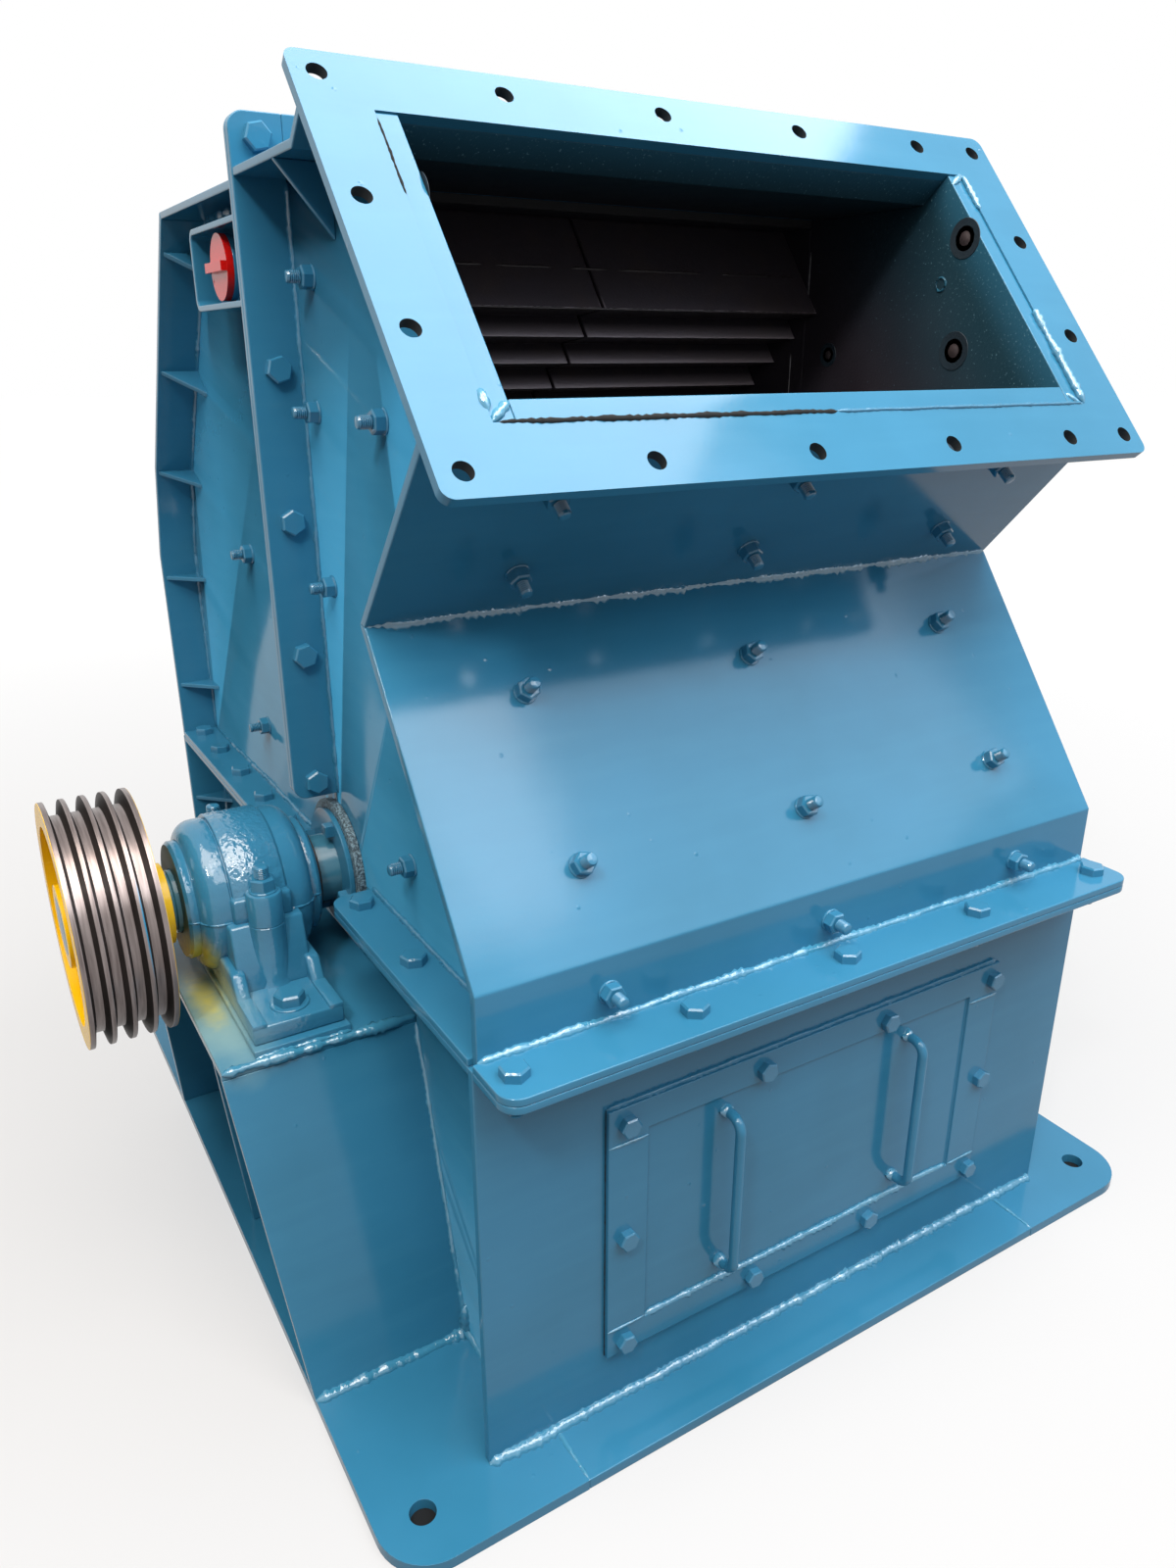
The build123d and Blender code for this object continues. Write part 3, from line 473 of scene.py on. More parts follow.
def merge(target: bmesh.types.BMesh, source: bmesh.types.BMesh,
          places: Sequence[Matrix] = (Matrix.Identity(4),)) -> None:
    """Add copies of one mesh to another.

    Args:
        target: the mesh that grows.
        source: the mesh that is copied and then used up.
        places: where each copy goes.
    """
    pattern = bpy.data.meshes.new("pattern")
    source.to_mesh(pattern)
    source.free()
    for place in places:
        copy = pattern.copy()
        copy.transform(place)
        if place.determinant() < 0:
            copy.flip_normals()
        target.from_mesh(copy)
        bpy.data.meshes.remove(copy)
    bpy.data.meshes.remove(pattern)


def aimed(spot: Sequence[float], outward: Sequence[float], turn: float = 0.0) -> Matrix:
    """A place at a spot whose Z axis points outward, turned about that axis."""
    spin = Vector(outward).to_track_quat("Z", "Y").to_matrix().to_4x4()
    return Matrix.Translation(Vector(spot)) @ spin @ Matrix.Rotation(turn, 4, "Z")


def lathe(profile: Sequence[tuple[float, float]], steps: int = 64, closed: bool = False) -> bmesh.types.BMesh:
    """Spin an outline about Z.

    Args:
        profile: radius and height of each point.
        steps: faces round the axis.
        closed: whether the last point joins the first.

    Returns:
        The round mesh.
    """
    bm = bmesh.new()
    points = [bm.verts.new((radius, 0.0, height)) for radius, height in profile]
    pairs = list(zip(points, points[1:]))
    if closed:
        pairs.append((points[-1], points[0]))
    edges = [bm.edges.new(pair) for pair in pairs]
    bmesh.ops.spin(bm, geom=points + edges, cent=(0, 0, 0), axis=(0, 0, 1), dvec=(0, 0, 0),
                   angle=math.tau, steps=steps, use_merge=True)
    return clean(bm)


def arc(centre: tuple[float, float], radius: float, start: float, end: float, steps: int = 6) -> list:
    """Points of an arc in a plane, between two angles in degrees."""
    angles = [math.radians(start + (end - start) * i / steps) for i in range(steps + 1)]
    return [(centre[0] + radius * math.cos(a), centre[1] + radius * math.sin(a)) for a in angles]


def block(low: Sequence[float], high: Sequence[float], bevel: float = 0.0, segments: int = 2) -> bmesh.types.BMesh:
    """A box between two corners with softened edges."""
    bm = bmesh.new()
    size = Vector(high) - Vector(low)
    middle = (Vector(high) + Vector(low)) / 2
    place = Matrix.Translation(middle) @ Matrix.Diagonal((*size, 1))
    bmesh.ops.create_cube(bm, size=1.0, matrix=place)
    if bevel:
        soften(bm, bm.edges, bevel, segments)
    return bm


def soften(bm: bmesh.types.BMesh, edges: Iterable[bmesh.types.BMEdge], width: float, segments: int = 2) -> None:
    """Round some edges of a mesh."""
    bmesh.ops.bevel(bm, geom=list(edges), offset=width, offset_type="OFFSET", segments=segments, profile=0.5,
                    affect="EDGES", clamp_overlap=True, material=-1)


def plate_copy(node: str, bevel: float) -> bmesh.types.BMesh:
    """A copy of a frame node with flat faces joined and its corners softened by the paint.

    Args:
        node: the node's name.
        bevel: the width of the softened corners.

    Returns:
        The mesh, in place.
    """
    bm = bmesh.new()
    bm.from_mesh(frame["nodes"][node].data)
    bmesh.ops.remove_doubles(bm, verts=bm.verts, dist=0.01 * MM)
    bmesh.ops.dissolve_limit(bm, angle_limit=math.radians(0.6), verts=bm.verts, edges=bm.edges)
    if bevel:
        corners = [e for e in bm.edges if e.is_manifold and e.calc_face_angle() > math.radians(24)]
        soften(bm, corners, bevel)
    return bm


# The machine's main places, in metres, read from the frame


@dataclass
class Layout:
    """Places that several sub-assemblies share."""

    strip_height: float = 90 * MM
    slope_run: float = 247.5 * MM
    slope_rise: float = 341.5 * MM
    feed_angle: float = math.radians(49.7)
    feed_margin: float = 80 * MM
    plate: float = 12 * MM
    wall_x: float = field(init=False)
    front_y: float = field(init=False)
    rear_y: float = field(init=False)
    base_top: float = field(init=False)
    split_z: float = field(init=False)
    flange_low: float = field(init=False)
    flange_top: float = field(init=False)
    shaft_y: float = field(init=False)
    bar_y: float = field(init=False)
    bar_x: float = field(init=False)
    feed_lip: Vector = field(init=False)

    def __post_init__(self) -> None:
        """Read the places from the frame's boxes."""
        self.wall_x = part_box("hood_right_wall")[1].x
        self.front_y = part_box("lower_front_wall")[0].y
        self.rear_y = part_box("lower_rear_wall")[1].y
        self.base_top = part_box("base_side_plates")[1].z
        self.flange_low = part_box("lower_flange_ends")[0].z
        self.flange_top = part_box("upper_flange_ends")[1].z
        self.shaft_y, self.split_z = frame["joints"][0]["pos_m"][1:]
        self.bar_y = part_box("front_split_side_bars")[0].y
        self.bar_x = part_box("front_split_side_bars")[1].x
        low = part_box("feed_flange")[0]
        self.feed_lip = Vector((0, low.y, low.z + self.plate * math.cos(self.feed_angle)))

    @property
    def slope_foot(self) -> tuple[float, float]:
        """Where the hood's slope starts, in Y and Z."""
        return self.front_y, self.split_z + self.strip_height

    @property
    def throat(self) -> tuple[float, float]:
        """The bend between the hood's slope and the throat, in Y and Z."""
        foot = self.slope_foot
        return foot[0] + self.slope_run, foot[1] + self.slope_rise

    @property
    def throat_end(self) -> tuple[float, float]:
        """Where the throat's outer face meets the back of the feed flange, in Y and Z."""
        spot = self.on_feed(0.0, self.feed_margin - self.plate, -self.plate)
        return spot.y, spot.z

    @property
    def feed_up(self) -> Vector:
        """The direction up the feed flange."""
        return Vector((0, math.cos(self.feed_angle), math.sin(self.feed_angle)))

    @property
    def feed_out(self) -> Vector:
        """The direction out of the feed flange."""
        return Vector((0, -math.sin(self.feed_angle), math.cos(self.feed_angle)))

    def on_feed(self, x: float, along: float, out: float = 0.0) -> Vector:
        """A point of the feed flange's face."""
        return Vector((x, 0, 0)) + self.feed_lip + self.feed_up * along + self.feed_out * out


# Sub-assemblies


@dataclass
class PlateWork:
    """The welded plates, liners and rotor pieces, copied from the frame with softened corners."""

    layout: Layout
    corner: float = 1.6 * MM
    mouth_plane: float = 0.9
    painted_depth: float = 10 * MM
    tooth_area: float = 0.03
    bend_radius: float = 16 * MM
    rim_width: float = 15 * MM
    hole_face_area: float = 2e-4

    def build(self) -> None:
        """Dress every plate of the housing, the liners and the rotor."""
        paint = ["base_side_plates", "base_end_bars", "lower_flange_ends", "lower_flange_sides",
                 "upper_flange_ends", "upper_flange_sides", "roof_gussets",
                 "front_split_side_bars", "front_split_top_bar", "rear_split_side_bars",
                 "rear_gussets", "lower_gussets", "inspection_cover", "cover_handles", "port_neck",
                 "port_guard", "shaft_seal_plates"]
        shell = ["lower_front_wall", "lower_rear_wall", "lower_left_wall", "lower_right_wall",
                 "hood_front_plate", "hood_throat_plate", "hood_left_wall", "hood_right_wall", "hood_roof",
                 "rear_left_wall", "rear_right_wall", "rear_roof", "rear_cover"]
        for node in paint:
            self.dress(node, PLATE_ENAMEL)
        for node in shell:
            self.dress_shell(node)
        for node in ("pedestal_tops", "pedestal_end_plates", "pedestal_webs", "bearing_pads"):
            self.dress(node, STAND_ENAMEL)
        self.dress("port_cover", RED_ENAMEL)
        self.dress("shaft_packings", PACKING_FIBRE)
        self.dress_feed_flange()
        self.dress_breaker()
        self.dress_inner_bar()
        for node in ("slope_liner", "rear_side_liners"):
            self.dress(node, LINER_STEEL)
        for node in ("rotor_discs", "hammers", "hammer_pins"):
            self.dress(node, ROTOR_STEEL, Body.ROTOR)
        for node in ("hood_side_liners", "chute_floor_liner"):
            self.dress_mouth(node)

    def dress(self, node: str, finish: Finish, body: Body = Body.HOUSING) -> None:
        """Replace one node by its softened copy.

        Args:
            node: the frame's node.
            finish: its finish.
            body: the body that carries it.
        """
        bm = plate_copy(node, self.corner)
        publish(f"{node}.dressed", bm, [finish], body, [node], weighted=True)

    def dress_feed_flange(self) -> None:
        """Dress the feed flange, with painted shade on the walls of its drilled holes."""
        row = self.layout
        bm = plate_copy("feed_flange", self.corner)
        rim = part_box("feed_flange")[1].x - self.rim_width
        length = max((v.co - row.feed_lip).dot(row.feed_up) for v in bm.verts) - self.rim_width
        for face in bm.faces:
            middle = face.calc_center_median()
            along = (middle - row.feed_lip).dot(row.feed_up)
            inside = abs(middle.x) < rim and self.rim_width < along < length
            wall = abs(face.normal.dot(row.feed_out)) < 0.5 and face.calc_area() < self.hole_face_area
            # The hole walls get the near-black painted shade.
            face.material_index = 1 if inside and wall else 0
        publish("feed_flange.dressed", bm, [PLATE_ENAMEL, HOLE_SHADE], replaces=["feed_flange"], weighted=True)

    def dress_breaker(self) -> None:
        """Dress the breaker plates: the ends of their ledges that face the mouth are lighter, from wear and as a
        painted highlight.
        """
        bm = plate_copy("breaker_plates", 2.5 * MM)
        for face in bm.faces:
            # Ledge faces that look out of the mouth get the lighter tips, partly a painted highlight.
            to_mouth = face.normal.y < -0.5 and face.normal.z > 0.2
            face.material_index = 1 if to_mouth and face.calc_area() < self.tooth_area else 0
        publish("breaker_plates.dressed", bm, [BREAKER_IRON, LIT_LEDGE_IRON],
                replaces=["breaker_plates"], weighted=True)

    def dress_inner_bar(self) -> None:
        """Dress the rear half of the upright flange's top bar, whose step under the roof is painted near-black as
        shade.
        """
        bm = plate_copy("rear_split_top_bar", self.corner)
        for face in bm.faces:
            # Faces that look forward or down under the roof get the painted shade.
            face.material_index = 1 if face.normal.y < -0.5 or face.normal.z < -0.5 else 0
        publish("rear_split_top_bar.dressed", bm, [PLATE_ENAMEL, STEP_SHADE], replaces=["rear_split_top_bar"],
                weighted=True)

    def dress_shell(self, node: str) -> None:
        """Dress a plate of the chamber: paint outside, bare steel on the faces that look into the chamber."""
        row = self.layout
        bm = plate_copy(node, self.corner)
        if node == "hood_front_plate":
            self.round_bend(bm)
        for x in (-row.wall_x, row.wall_x):
            bmesh.ops.bisect_plane(bm, geom=bm.verts[:] + bm.edges[:] + bm.faces[:], plane_co=(x, 0, 0),
                                   plane_no=(1, 0, 0))
        heart = Vector((0, row.shaft_y, row.flange_top + 0.3))
        for face in bm.faces:
            middle = face.calc_center_median()
            inside = abs(middle.x) < row.wall_x - 1 * MM and face.normal.dot(heart - middle) > -0.02
            behind = (row.feed_lip - middle).dot(row.feed_out)
            face.material_index = 1 if inside and behind > self.painted_depth else 0
        publish(f"{node}.dressed", bm, [PLATE_ENAMEL, LINER_STEEL], replaces=[node], weighted=True)

    def round_bend(self, bm: bmesh.types.BMesh) -> None:
        """Round the outer crease where the hood's strip turns into its slope, as a press brake leaves it."""
        foot = self.layout.slope_foot
        edges = []
        for edge in bm.edges:
            middle = (edge.verts[0].co + edge.verts[1].co) / 2
            near = math.hypot(middle.y - foot[0], middle.z - foot[1]) < 4 * MM
            if near and abs(edge.verts[0].co.x - edge.verts[1].co.x) > 0.5:
                edges.append(edge)
        soften(bm, edges, self.bend_radius, 5)

    def dress_mouth(self, node: str) -> None:
        """Dress a liner whose end shows in the mouth: the end is painted with the flange."""
        bm = plate_copy(node, self.corner)
        out = self.layout.feed_out
        for face in bm.faces:
            face.material_index = 1 if face.normal.dot(out) > self.mouth_plane else 0
        publish(f"{node}.dressed", bm, [LINER_STEEL, PLATE_ENAMEL], replaces=[node], weighted=True)


class Head(Enum):
    """The kinds of fastener on the machine."""

    HEX = "hex head"
    STUD = "nut on a stud"
    SQUARE = "square head"


@dataclass(frozen=True)
class Fastener:
    """One size of bolt or nut, drawn on Z from the plate up."""

    head: Head
    across: float
    height: float
    thread: float = 0.0
    reach: float = 0.0
    washer: float = 0.0
    thread_pitch: float = 2.5 * MM

    def shape(self) -> bmesh.types.BMesh:
        """The fastener's mesh, at the origin."""
        bm = bmesh.new()
        sides = 4 if self.head is Head.SQUARE else 6
        corner = self.across / 2 / math.cos(math.pi / sides)
        seat = 2.5 * MM if self.washer else 0.0
        place = Matrix.Translation((0, 0, seat + self.height / 2))
        bmesh.ops.create_cone(bm, cap_ends=True, segments=sides, radius1=corner, radius2=corner,
                              depth=self.height, matrix=place)
        top = [e for e in bm.edges if min(v.co.z for v in e.verts) > seat + self.height / 2]
        soften(bm, top, self.across * 0.07, 1)
        upright = [e for e in bm.edges if abs(e.verts[0].co.z - e.verts[1].co.z) > self.height * 0.6]
        soften(bm, upright, self.across * 0.02, 1)
        if self.washer:
            rim = self.washer
            merge(bm, lathe([(0, 0), (rim, 0), (rim, seat * 0.6), (rim - seat * 0.4, seat), (0, seat)], 28))
        if self.head is Head.STUD:
            merge(bm, self.stud(seat + self.height))
        return bm

    def stud(self, base: float) -> bmesh.types.BMesh:
        """The threaded end past the nut, with its crests drawn as rings."""
        crest = self.thread / 2
        root = crest - 0.55 * self.thread_pitch
        profile = [(root, base - self.thread_pitch)]
        rings = int(self.reach / self.thread_pitch)
        for i in range(rings):
            height = base + self.thread_pitch * i
            profile += [(root, height), (crest, height + self.thread_pitch * 0.5)]
        tip = base + self.reach
        profile += [(root, tip - 0.2 * self.thread_pitch), (root - 1.5 * MM, tip), (0, tip)]
        return lathe(profile, 14)


@dataclass
class BoltSets:
    """All the bolts, nuts and studs, in sets by where they sit."""

    layout: Layout
    seed: int = 7
    flange_bolt: Fastener = Fastener(Head.HEX, 30 * MM, 12.5 * MM)
    flange_nut: Fastener = Fastener(Head.STUD, 30 * MM, 16 * MM, 20 * MM, 12 * MM)
    liner_nut: Fastener = Fastener(Head.STUD, 25 * MM, 13 * MM, 16 * MM, 17 * MM, 15 * MM)
    cover_bolt: Fastener = Fastener(Head.HEX, 25 * MM, 11 * MM)
    seal_bolt: Fastener = Fastener(Head.SQUARE, 17 * MM, 12 * MM)
    foot_bolt: Fastener = Fastener(Head.HEX, 36 * MM, 15 * MM, washer=26 * MM)
    cap_nut: Fastener = Fastener(Head.STUD, 30 * MM, 17 * MM, 20 * MM, 16 * MM, 19 * MM)
    front_x: tuple = (-0.476, -0.243, -0.008, 0.227, 0.469)
    side_y: tuple = (-0.431, -0.252, 0.085, 0.211, 0.354, 0.497, 0.620)
    liner_x: tuple = (-0.334, -0.003, 0.343)
    slope_shares: tuple = (0.252, 0.754)
    throat_shares: tuple = (0.255, 0.72)
    strip_bolt_z: tuple = (0.737, 0.922, 1.102, 1.291, 1.548)
    wall_studs: tuple = ((-0.364, 0.704), (-0.361, 1.240), (-0.138, 1.241), (-0.145, 1.022), (-0.158, 1.395),
                         (0.255, 0.719), (0.248, 1.010))
    sunk_bolts: tuple = ((-0.398, 1.457, 26 * MM), (-0.399, 1.3135, 26 * MM), (-0.143, 1.308, 18 * MM))
    liner_face: float = 403 * MM
    cover_x: tuple = (-0.311, -0.101, 0.115, 0.326)
    cover_z: tuple = (0.118, 0.286, 0.456)

    def build(self) -> None:
        """Build every set, each as one joined piece."""
        self.dice = random.Random(self.seed)
        self.split_flange()
        self.hood_studs()
        self.wall_liner_studs()
        self.split_strip()
        self.cover()
        self.seals()
        self.sunk_heads()

    def turned(self, spot: Sequence[float], outward: Sequence[float]) -> Matrix:
        """A place for a fastener, turned at random as a spanner leaves it."""
        return aimed(spot, outward, self.dice.uniform(0, math.tau))

    def fill(self, name: str, sets: Sequence[tuple[Fastener, Sequence[Matrix]]]) -> None:
        """Publish one piece with fasteners at their places.

        Args:
            name: the piece's name.
            sets: each fastener with its places.
        """
        bm = bmesh.new()
        for fastener, places in sets:
            merge(bm, fastener.shape(), places)
        publish(name, bm, [BOLT_ENAMEL], sharp=24.0)

    def split_flange(self) -> None:
        """Bolts down through the level flange, with nuts under it."""
        row = self.layout
        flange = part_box("upper_flange_ends")
        front = (flange[0].y + row.front_y) / 2
        rear = (flange[1].y + row.rear_y) / 2
        side = (row.wall_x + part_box("upper_flange_sides")[1].x) / 2
        spots = [(x, front) for x in self.front_x] + [(x, rear) for x in self.front_x[1:-1]]
        spots += [(x, y) for y in self.side_y for x in (-side, side)]
        heads = [self.turned((x, y, row.flange_top), (0, 0, 1)) for x, y in spots]
        nuts = [self.turned((x, y, row.flange_low), (0, 0, -1)) for x, y in spots]
        self.fill("split_flange_bolts", [(self.flange_bolt, heads), (self.flange_nut, nuts)])

    def hood_studs(self) -> None:
        """Studs of the liners behind the hood's strip, slope and throat."""
        row = self.layout
        foot, throat = row.slope_foot, row.throat
        places = [self.turned((x, row.front_y, row.split_z + row.strip_height / 2), (0, -1, 0))
                  for x in self.liner_x]
        for start, end, shares in ((foot, throat, self.slope_shares),
                                   (throat, row.throat_end, self.throat_shares)):
            run = Vector((0, end[0] - start[0], end[1] - start[1]))
            outward = Vector((0, -run.z, run.y))
            for share in shares:
                for x in self.liner_x:
                    spot = Vector((x, *start)) + run * share
                    places.append(self.turned(spot, outward))
        self.fill("hood_liner_studs", [(self.liner_nut, places)])

    def wall_liner_studs(self) -> None:
        """Studs of the side liners, on both side walls."""
        places = []
        for y, z in self.wall_studs:
            for side in (-1, 1):
                places.append(self.turned((side * self.layout.wall_x, y, z), (side, 0, 0)))
        self.fill("wall_liner_studs", [(self.liner_nut, places)])

    def split_strip(self) -> None:
        """Bolts through the upright flange behind the chute, with nuts on its rear."""
        row = self.layout
        x = (row.wall_x + row.bar_x) / 2
        rear_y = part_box("rear_split_side_bars")[1].y
        top = self.strip_bolt_z[-1]
        spots = [(side * x, z) for z in self.strip_bolt_z for side in (-1, 1)]
        spots += [(share * row.wall_x, top) for share in (-0.66, -0.22, 0.22, 0.66)]
        heads = [self.turned((x, row.bar_y, z), (0, -1, 0)) for x, z in spots]
        nuts = [self.turned((x, rear_y, z), (0, 1, 0)) for x, z in spots]
        self.fill("split_strip_bolts", [(self.flange_bolt, heads), (self.flange_nut, nuts)])

    def cover(self) -> None:
        """Bolts round the inspection cover."""
        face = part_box("inspection_cover")[0].y
        ends = (self.cover_x[0], self.cover_x[-1])
        spots = [(x, z) for z in self.cover_z for x in (ends if z == self.cover_z[1] else self.cover_x)]
        self.fill("cover_bolts", [(self.cover_bolt, [self.turned((x, face, z), (0, -1, 0)) for x, z in spots])])

    def seals(self) -> None:
        """Square-headed bolts of the shaft seals."""
        row = self.layout
        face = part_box("shaft_seal_plates")[1].x
        radius = 72 * MM
        places = []
        for angle in (20, 110, 200, 290):
            y = row.shaft_y + radius * math.cos(math.radians(angle))
            z = row.split_z + radius * math.sin(math.radians(angle))
            places += [self.turned((side * face, y, z), (side, 0, 0)) for side in (-1, 1)]
        self.fill("seal_bolts", [(self.seal_bolt, places)])


    def sunk_heads(self) -> None:
        """Countersunk bolts of the side liners, seen from inside the mouth; the shallow dished rings round the heads
        are painted near-black as the shade of deep recesses.
        """
        cups, heads = bmesh.new(), bmesh.new()
        lift = 1 * MM
        for y, z, rim in self.sunk_bolts:
            places = [aimed((side * self.liner_face, y, z), (-side, 0, 0)) for side in (-1, 1)]
            wall = 0.62 * rim
            merge(cups, lathe([(rim, 0), (rim - 0.4 * lift, lift), (wall, 0.3 * lift), (0, 0.3 * lift)], 32), places)
            crown = arc((0, -wall), 1.16 * wall, 30, 90, 6)
            dome = [(radius, max(0.3 * lift, height)) for radius, height in crown]
            merge(heads, lathe(dome, 24), places)
        publish("sunk_bolt_cups", cups, [RECESS_SHADE])
        publish("sunk_bolt_heads", heads, [BOLT_IRON])


@dataclass(frozen=True)
class Bead:
    """A run of weld: the line of the joint, its size and its own seed."""

    path: tuple[tuple[float, float, float], ...]
    radius: float = 6 * MM
    seed: int = 1
    fade: float = 9 * MM


@dataclass
class Welds:
    """Weld beads, uneven along their length as a hand lays them."""

    layout: Layout
    step: float = 5 * MM
    around: int = 8
    ripple_pitch: float = 11 * MM
    unevenness: float = 0.45
    heavy_run: float = 130 * MM
    liner_face: float = 403 * MM
    plug: tuple = (-0.363, 1.401)
    plug_radius: float = 9 * MM
    ring_steps: int = 16
    liner_joints: tuple = ((-0.087, 1.37, 1.46), (-0.053, 1.24, 1.31))

    def tube(self, bead: Bead) -> bmesh.types.BMesh:
        """A rippled bead along its path.

        Args:
            bead: the run of weld.

        Returns:
            The bead's mesh, half sunk in the joint.
        """
        points = [Vector(p) for p in bead.path]
        lengths = [(b - a).length for a, b in zip(points, points[1:])]
        steps = max(4, int(sum(lengths) / self.step))
        bm = bmesh.new()
        bmesh.ops.create_grid(bm, x_segments=steps, y_segments=self.around, size=0.5)
        for vert in bm.verts:
            along = (vert.co.x + 0.5) * sum(lengths)
            angle = (vert.co.y + 0.5) * math.tau
            vert.co = self.skin(bead, points, lengths, along, angle)
        return clean(bm)

    def skin(self, bead: Bead, points: list[Vector], lengths: list[float], along: float, angle: float) -> Vector:
        """A point of a bead's skin.

        Args:
            bead: the run of weld.
            points: its path.
            lengths: the lengths of the path's runs.
            along: the distance along the path.
            angle: the angle round the path.

        Returns:
            The point.
        """
        total = sum(lengths)
        rest = along
        for i, length in enumerate(lengths):
            if rest <= length or i == len(lengths) - 1:
                break
            rest -= length
        run = (points[i + 1] - points[i]).normalized()
        side = run.orthogonal().normalized()
        up = run.cross(side)
        key = Vector((along * 45, bead.seed * 7.3, 0))
        swell = 1 + self.unevenness * hills.noise(key) + 0.22 * hills.noise(key * 3.7)
        ripple = 1 + 0.17 * math.sin(along / self.ripple_pitch * math.tau + 2 * hills.noise(key * 0.6))
        ends = min(1.0, min(along, total - along) / bead.fade + 0.02) ** 0.5
        lump = 1 + 0.24 * hills.noise(key * 5 + Vector((0, 0, angle * 1.2)))
        radius = bead.radius * swell * ripple * ends * lump
        wander = bead.radius * 0.35 * hills.noise(key * 0.5 + Vector((0, 0, 9)))
        outward = side * math.cos(angle) + up * math.sin(angle)
        return points[i] + run * rest + outward * radius + side * wander

    def publish_set(self, name: str, beads: Sequence[Bead], mirrored: bool = False,
                    finish: Finish = LIT_WELD_ENAMEL) -> None:
        """Publish a set of beads as one piece.

        Args:
            name: the piece's name.
            beads: the runs of weld.
            mirrored: whether the other side has them too.
            finish: the finish of the beads.
        """
        bm = bmesh.new()
        places = [Matrix.Identity(4)]
        if mirrored:
            places.append(Matrix.Diagonal((-1, 1, 1, 1)))
        for bead in beads:
            merge(bm, self.tube(bead), places)
        publish(name, bm, [finish], sharp=80.0)

    def build(self) -> None:
        """Lay the beads of the base, the flanges, the hood, the stands, the cover and the rear."""
        self.base()
        self.flanges()
        self.hood()
        self.stands()
        self.cover()
        self.rear()
        self.mouth()

    def base(self) -> None:
        """Round the foot of the lower box, and across the seams of the base frame."""
        row = self.layout
        x, y, z = row.wall_x, row.front_y, row.base_top
        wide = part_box("lower_front_wall")[1].x
        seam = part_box("base_end_bars")[1].x
        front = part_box("base_end_bars")[0].y
        self.publish_set("base_welds", [
            Bead(((-wide, y, z), (wide, y, z)), 9 * MM, 3),
            Bead(((-wide, y - 2 * MM, z), (self.heavy_run - wide, y - 2 * MM, z)), 10 * MM, 2, self.heavy_run / 2),
            Bead(((-wide, row.rear_y, z), (wide, row.rear_y, z)), 7 * MM, 4),
        ])
        self.publish_set("base_side_welds", [
            Bead(((-x, y + row.plate, z), (-x, row.rear_y - row.plate, z)), 6 * MM, 5),
            Bead(((-x, y + row.plate, z), (-x, y + row.plate, row.flange_low)), 5 * MM, 6),
            Bead(((-x, row.rear_y - row.plate, z), (-x, row.rear_y - row.plate, row.flange_low)), 5 * MM, 7),
            Bead(((-seam, front, z - 1 * MM), (-seam, y, z - 1 * MM)), 3 * MM, 8),
            Bead(((-seam, -front, z - 1 * MM), (-seam, row.rear_y, z - 1 * MM)), 3 * MM, 9),
        ], True)

    def flanges(self) -> None:
        """Along both halves of the level flange and beside the upright flange."""
        row = self.layout
        x, y = row.wall_x, row.front_y
        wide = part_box("hood_front_plate")[1].x
        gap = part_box("upper_flange_sides")
        shaft_gap = 125 * MM
        near, far = row.shaft_y - shaft_gap, row.shaft_y + shaft_gap
        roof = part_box("hood_left_wall")[1].z
        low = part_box("front_split_side_bars")[0].z
        rear_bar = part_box("rear_split_side_bars")[1].y
        self.publish_set("split_flange_welds", [
            Bead(((-wide, y, row.flange_top), (wide, y, row.flange_top)), 6 * MM, 11),
            Bead(((-wide, y, row.flange_low), (wide, y, row.flange_low)), 5 * MM, 12),
            Bead(((-x, row.rear_y, row.flange_top), (x, row.rear_y, row.flange_top)), 6 * MM, 13),
            Bead(((-x, row.rear_y, row.flange_low), (x, row.rear_y, row.flange_low)), 5 * MM, 14),
        ])
        self.publish_set("side_flange_welds", [
            Bead(((-x, gap[0].y, row.flange_top), (-x, near, row.flange_top)), 5 * MM, 15),
            Bead(((-x, far, row.flange_top), (-x, gap[1].y, row.flange_top)), 5 * MM, 16),
            Bead(((-x, row.bar_y, low), (-x, row.bar_y, roof - 30 * MM)), 4.5 * MM, 17),
            Bead(((-x, rear_bar, low), (-x, rear_bar, roof - 60 * MM)), 4.5 * MM, 18),
        ], True, FILLET_ENAMEL)

    def hood(self) -> None:
        """Across the throat, and where the hood's bent front meets its side walls and the feed flange."""
        row = self.layout
        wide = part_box("hood_front_plate")[1].x
        x = row.wall_x
        foot, throat = row.slope_foot, row.throat
        sink = 4 * MM
        run = Vector((0, row.slope_run, row.slope_rise)).normalized()
        inward = Vector((0, run.z, -run.y)) * row.plate
        bend = Vector((-x, throat[0], throat[1])) + inward
        low = Vector((-x, foot[0], foot[1])) + inward
        end = row.on_feed(-x, 84 * MM, -row.plate)
        self.publish_set("throat_weld", [
            Bead(((-wide, throat[0] + sink, throat[1]), (wide, throat[0] + sink, throat[1])), 8.5 * MM, 21),
        ])
        self.publish_set("hood_side_welds", [
            Bead(((-x, row.front_y + row.plate, row.flange_top), tuple(low), tuple(bend), tuple(end)), 5 * MM, 22),
            Bead((tuple(row.on_feed(-x, 84 * MM, -row.plate)), tuple(row.on_feed(-x, 440 * MM, -row.plate))),
                 5 * MM, 23),
        ], True, FILLET_ENAMEL)

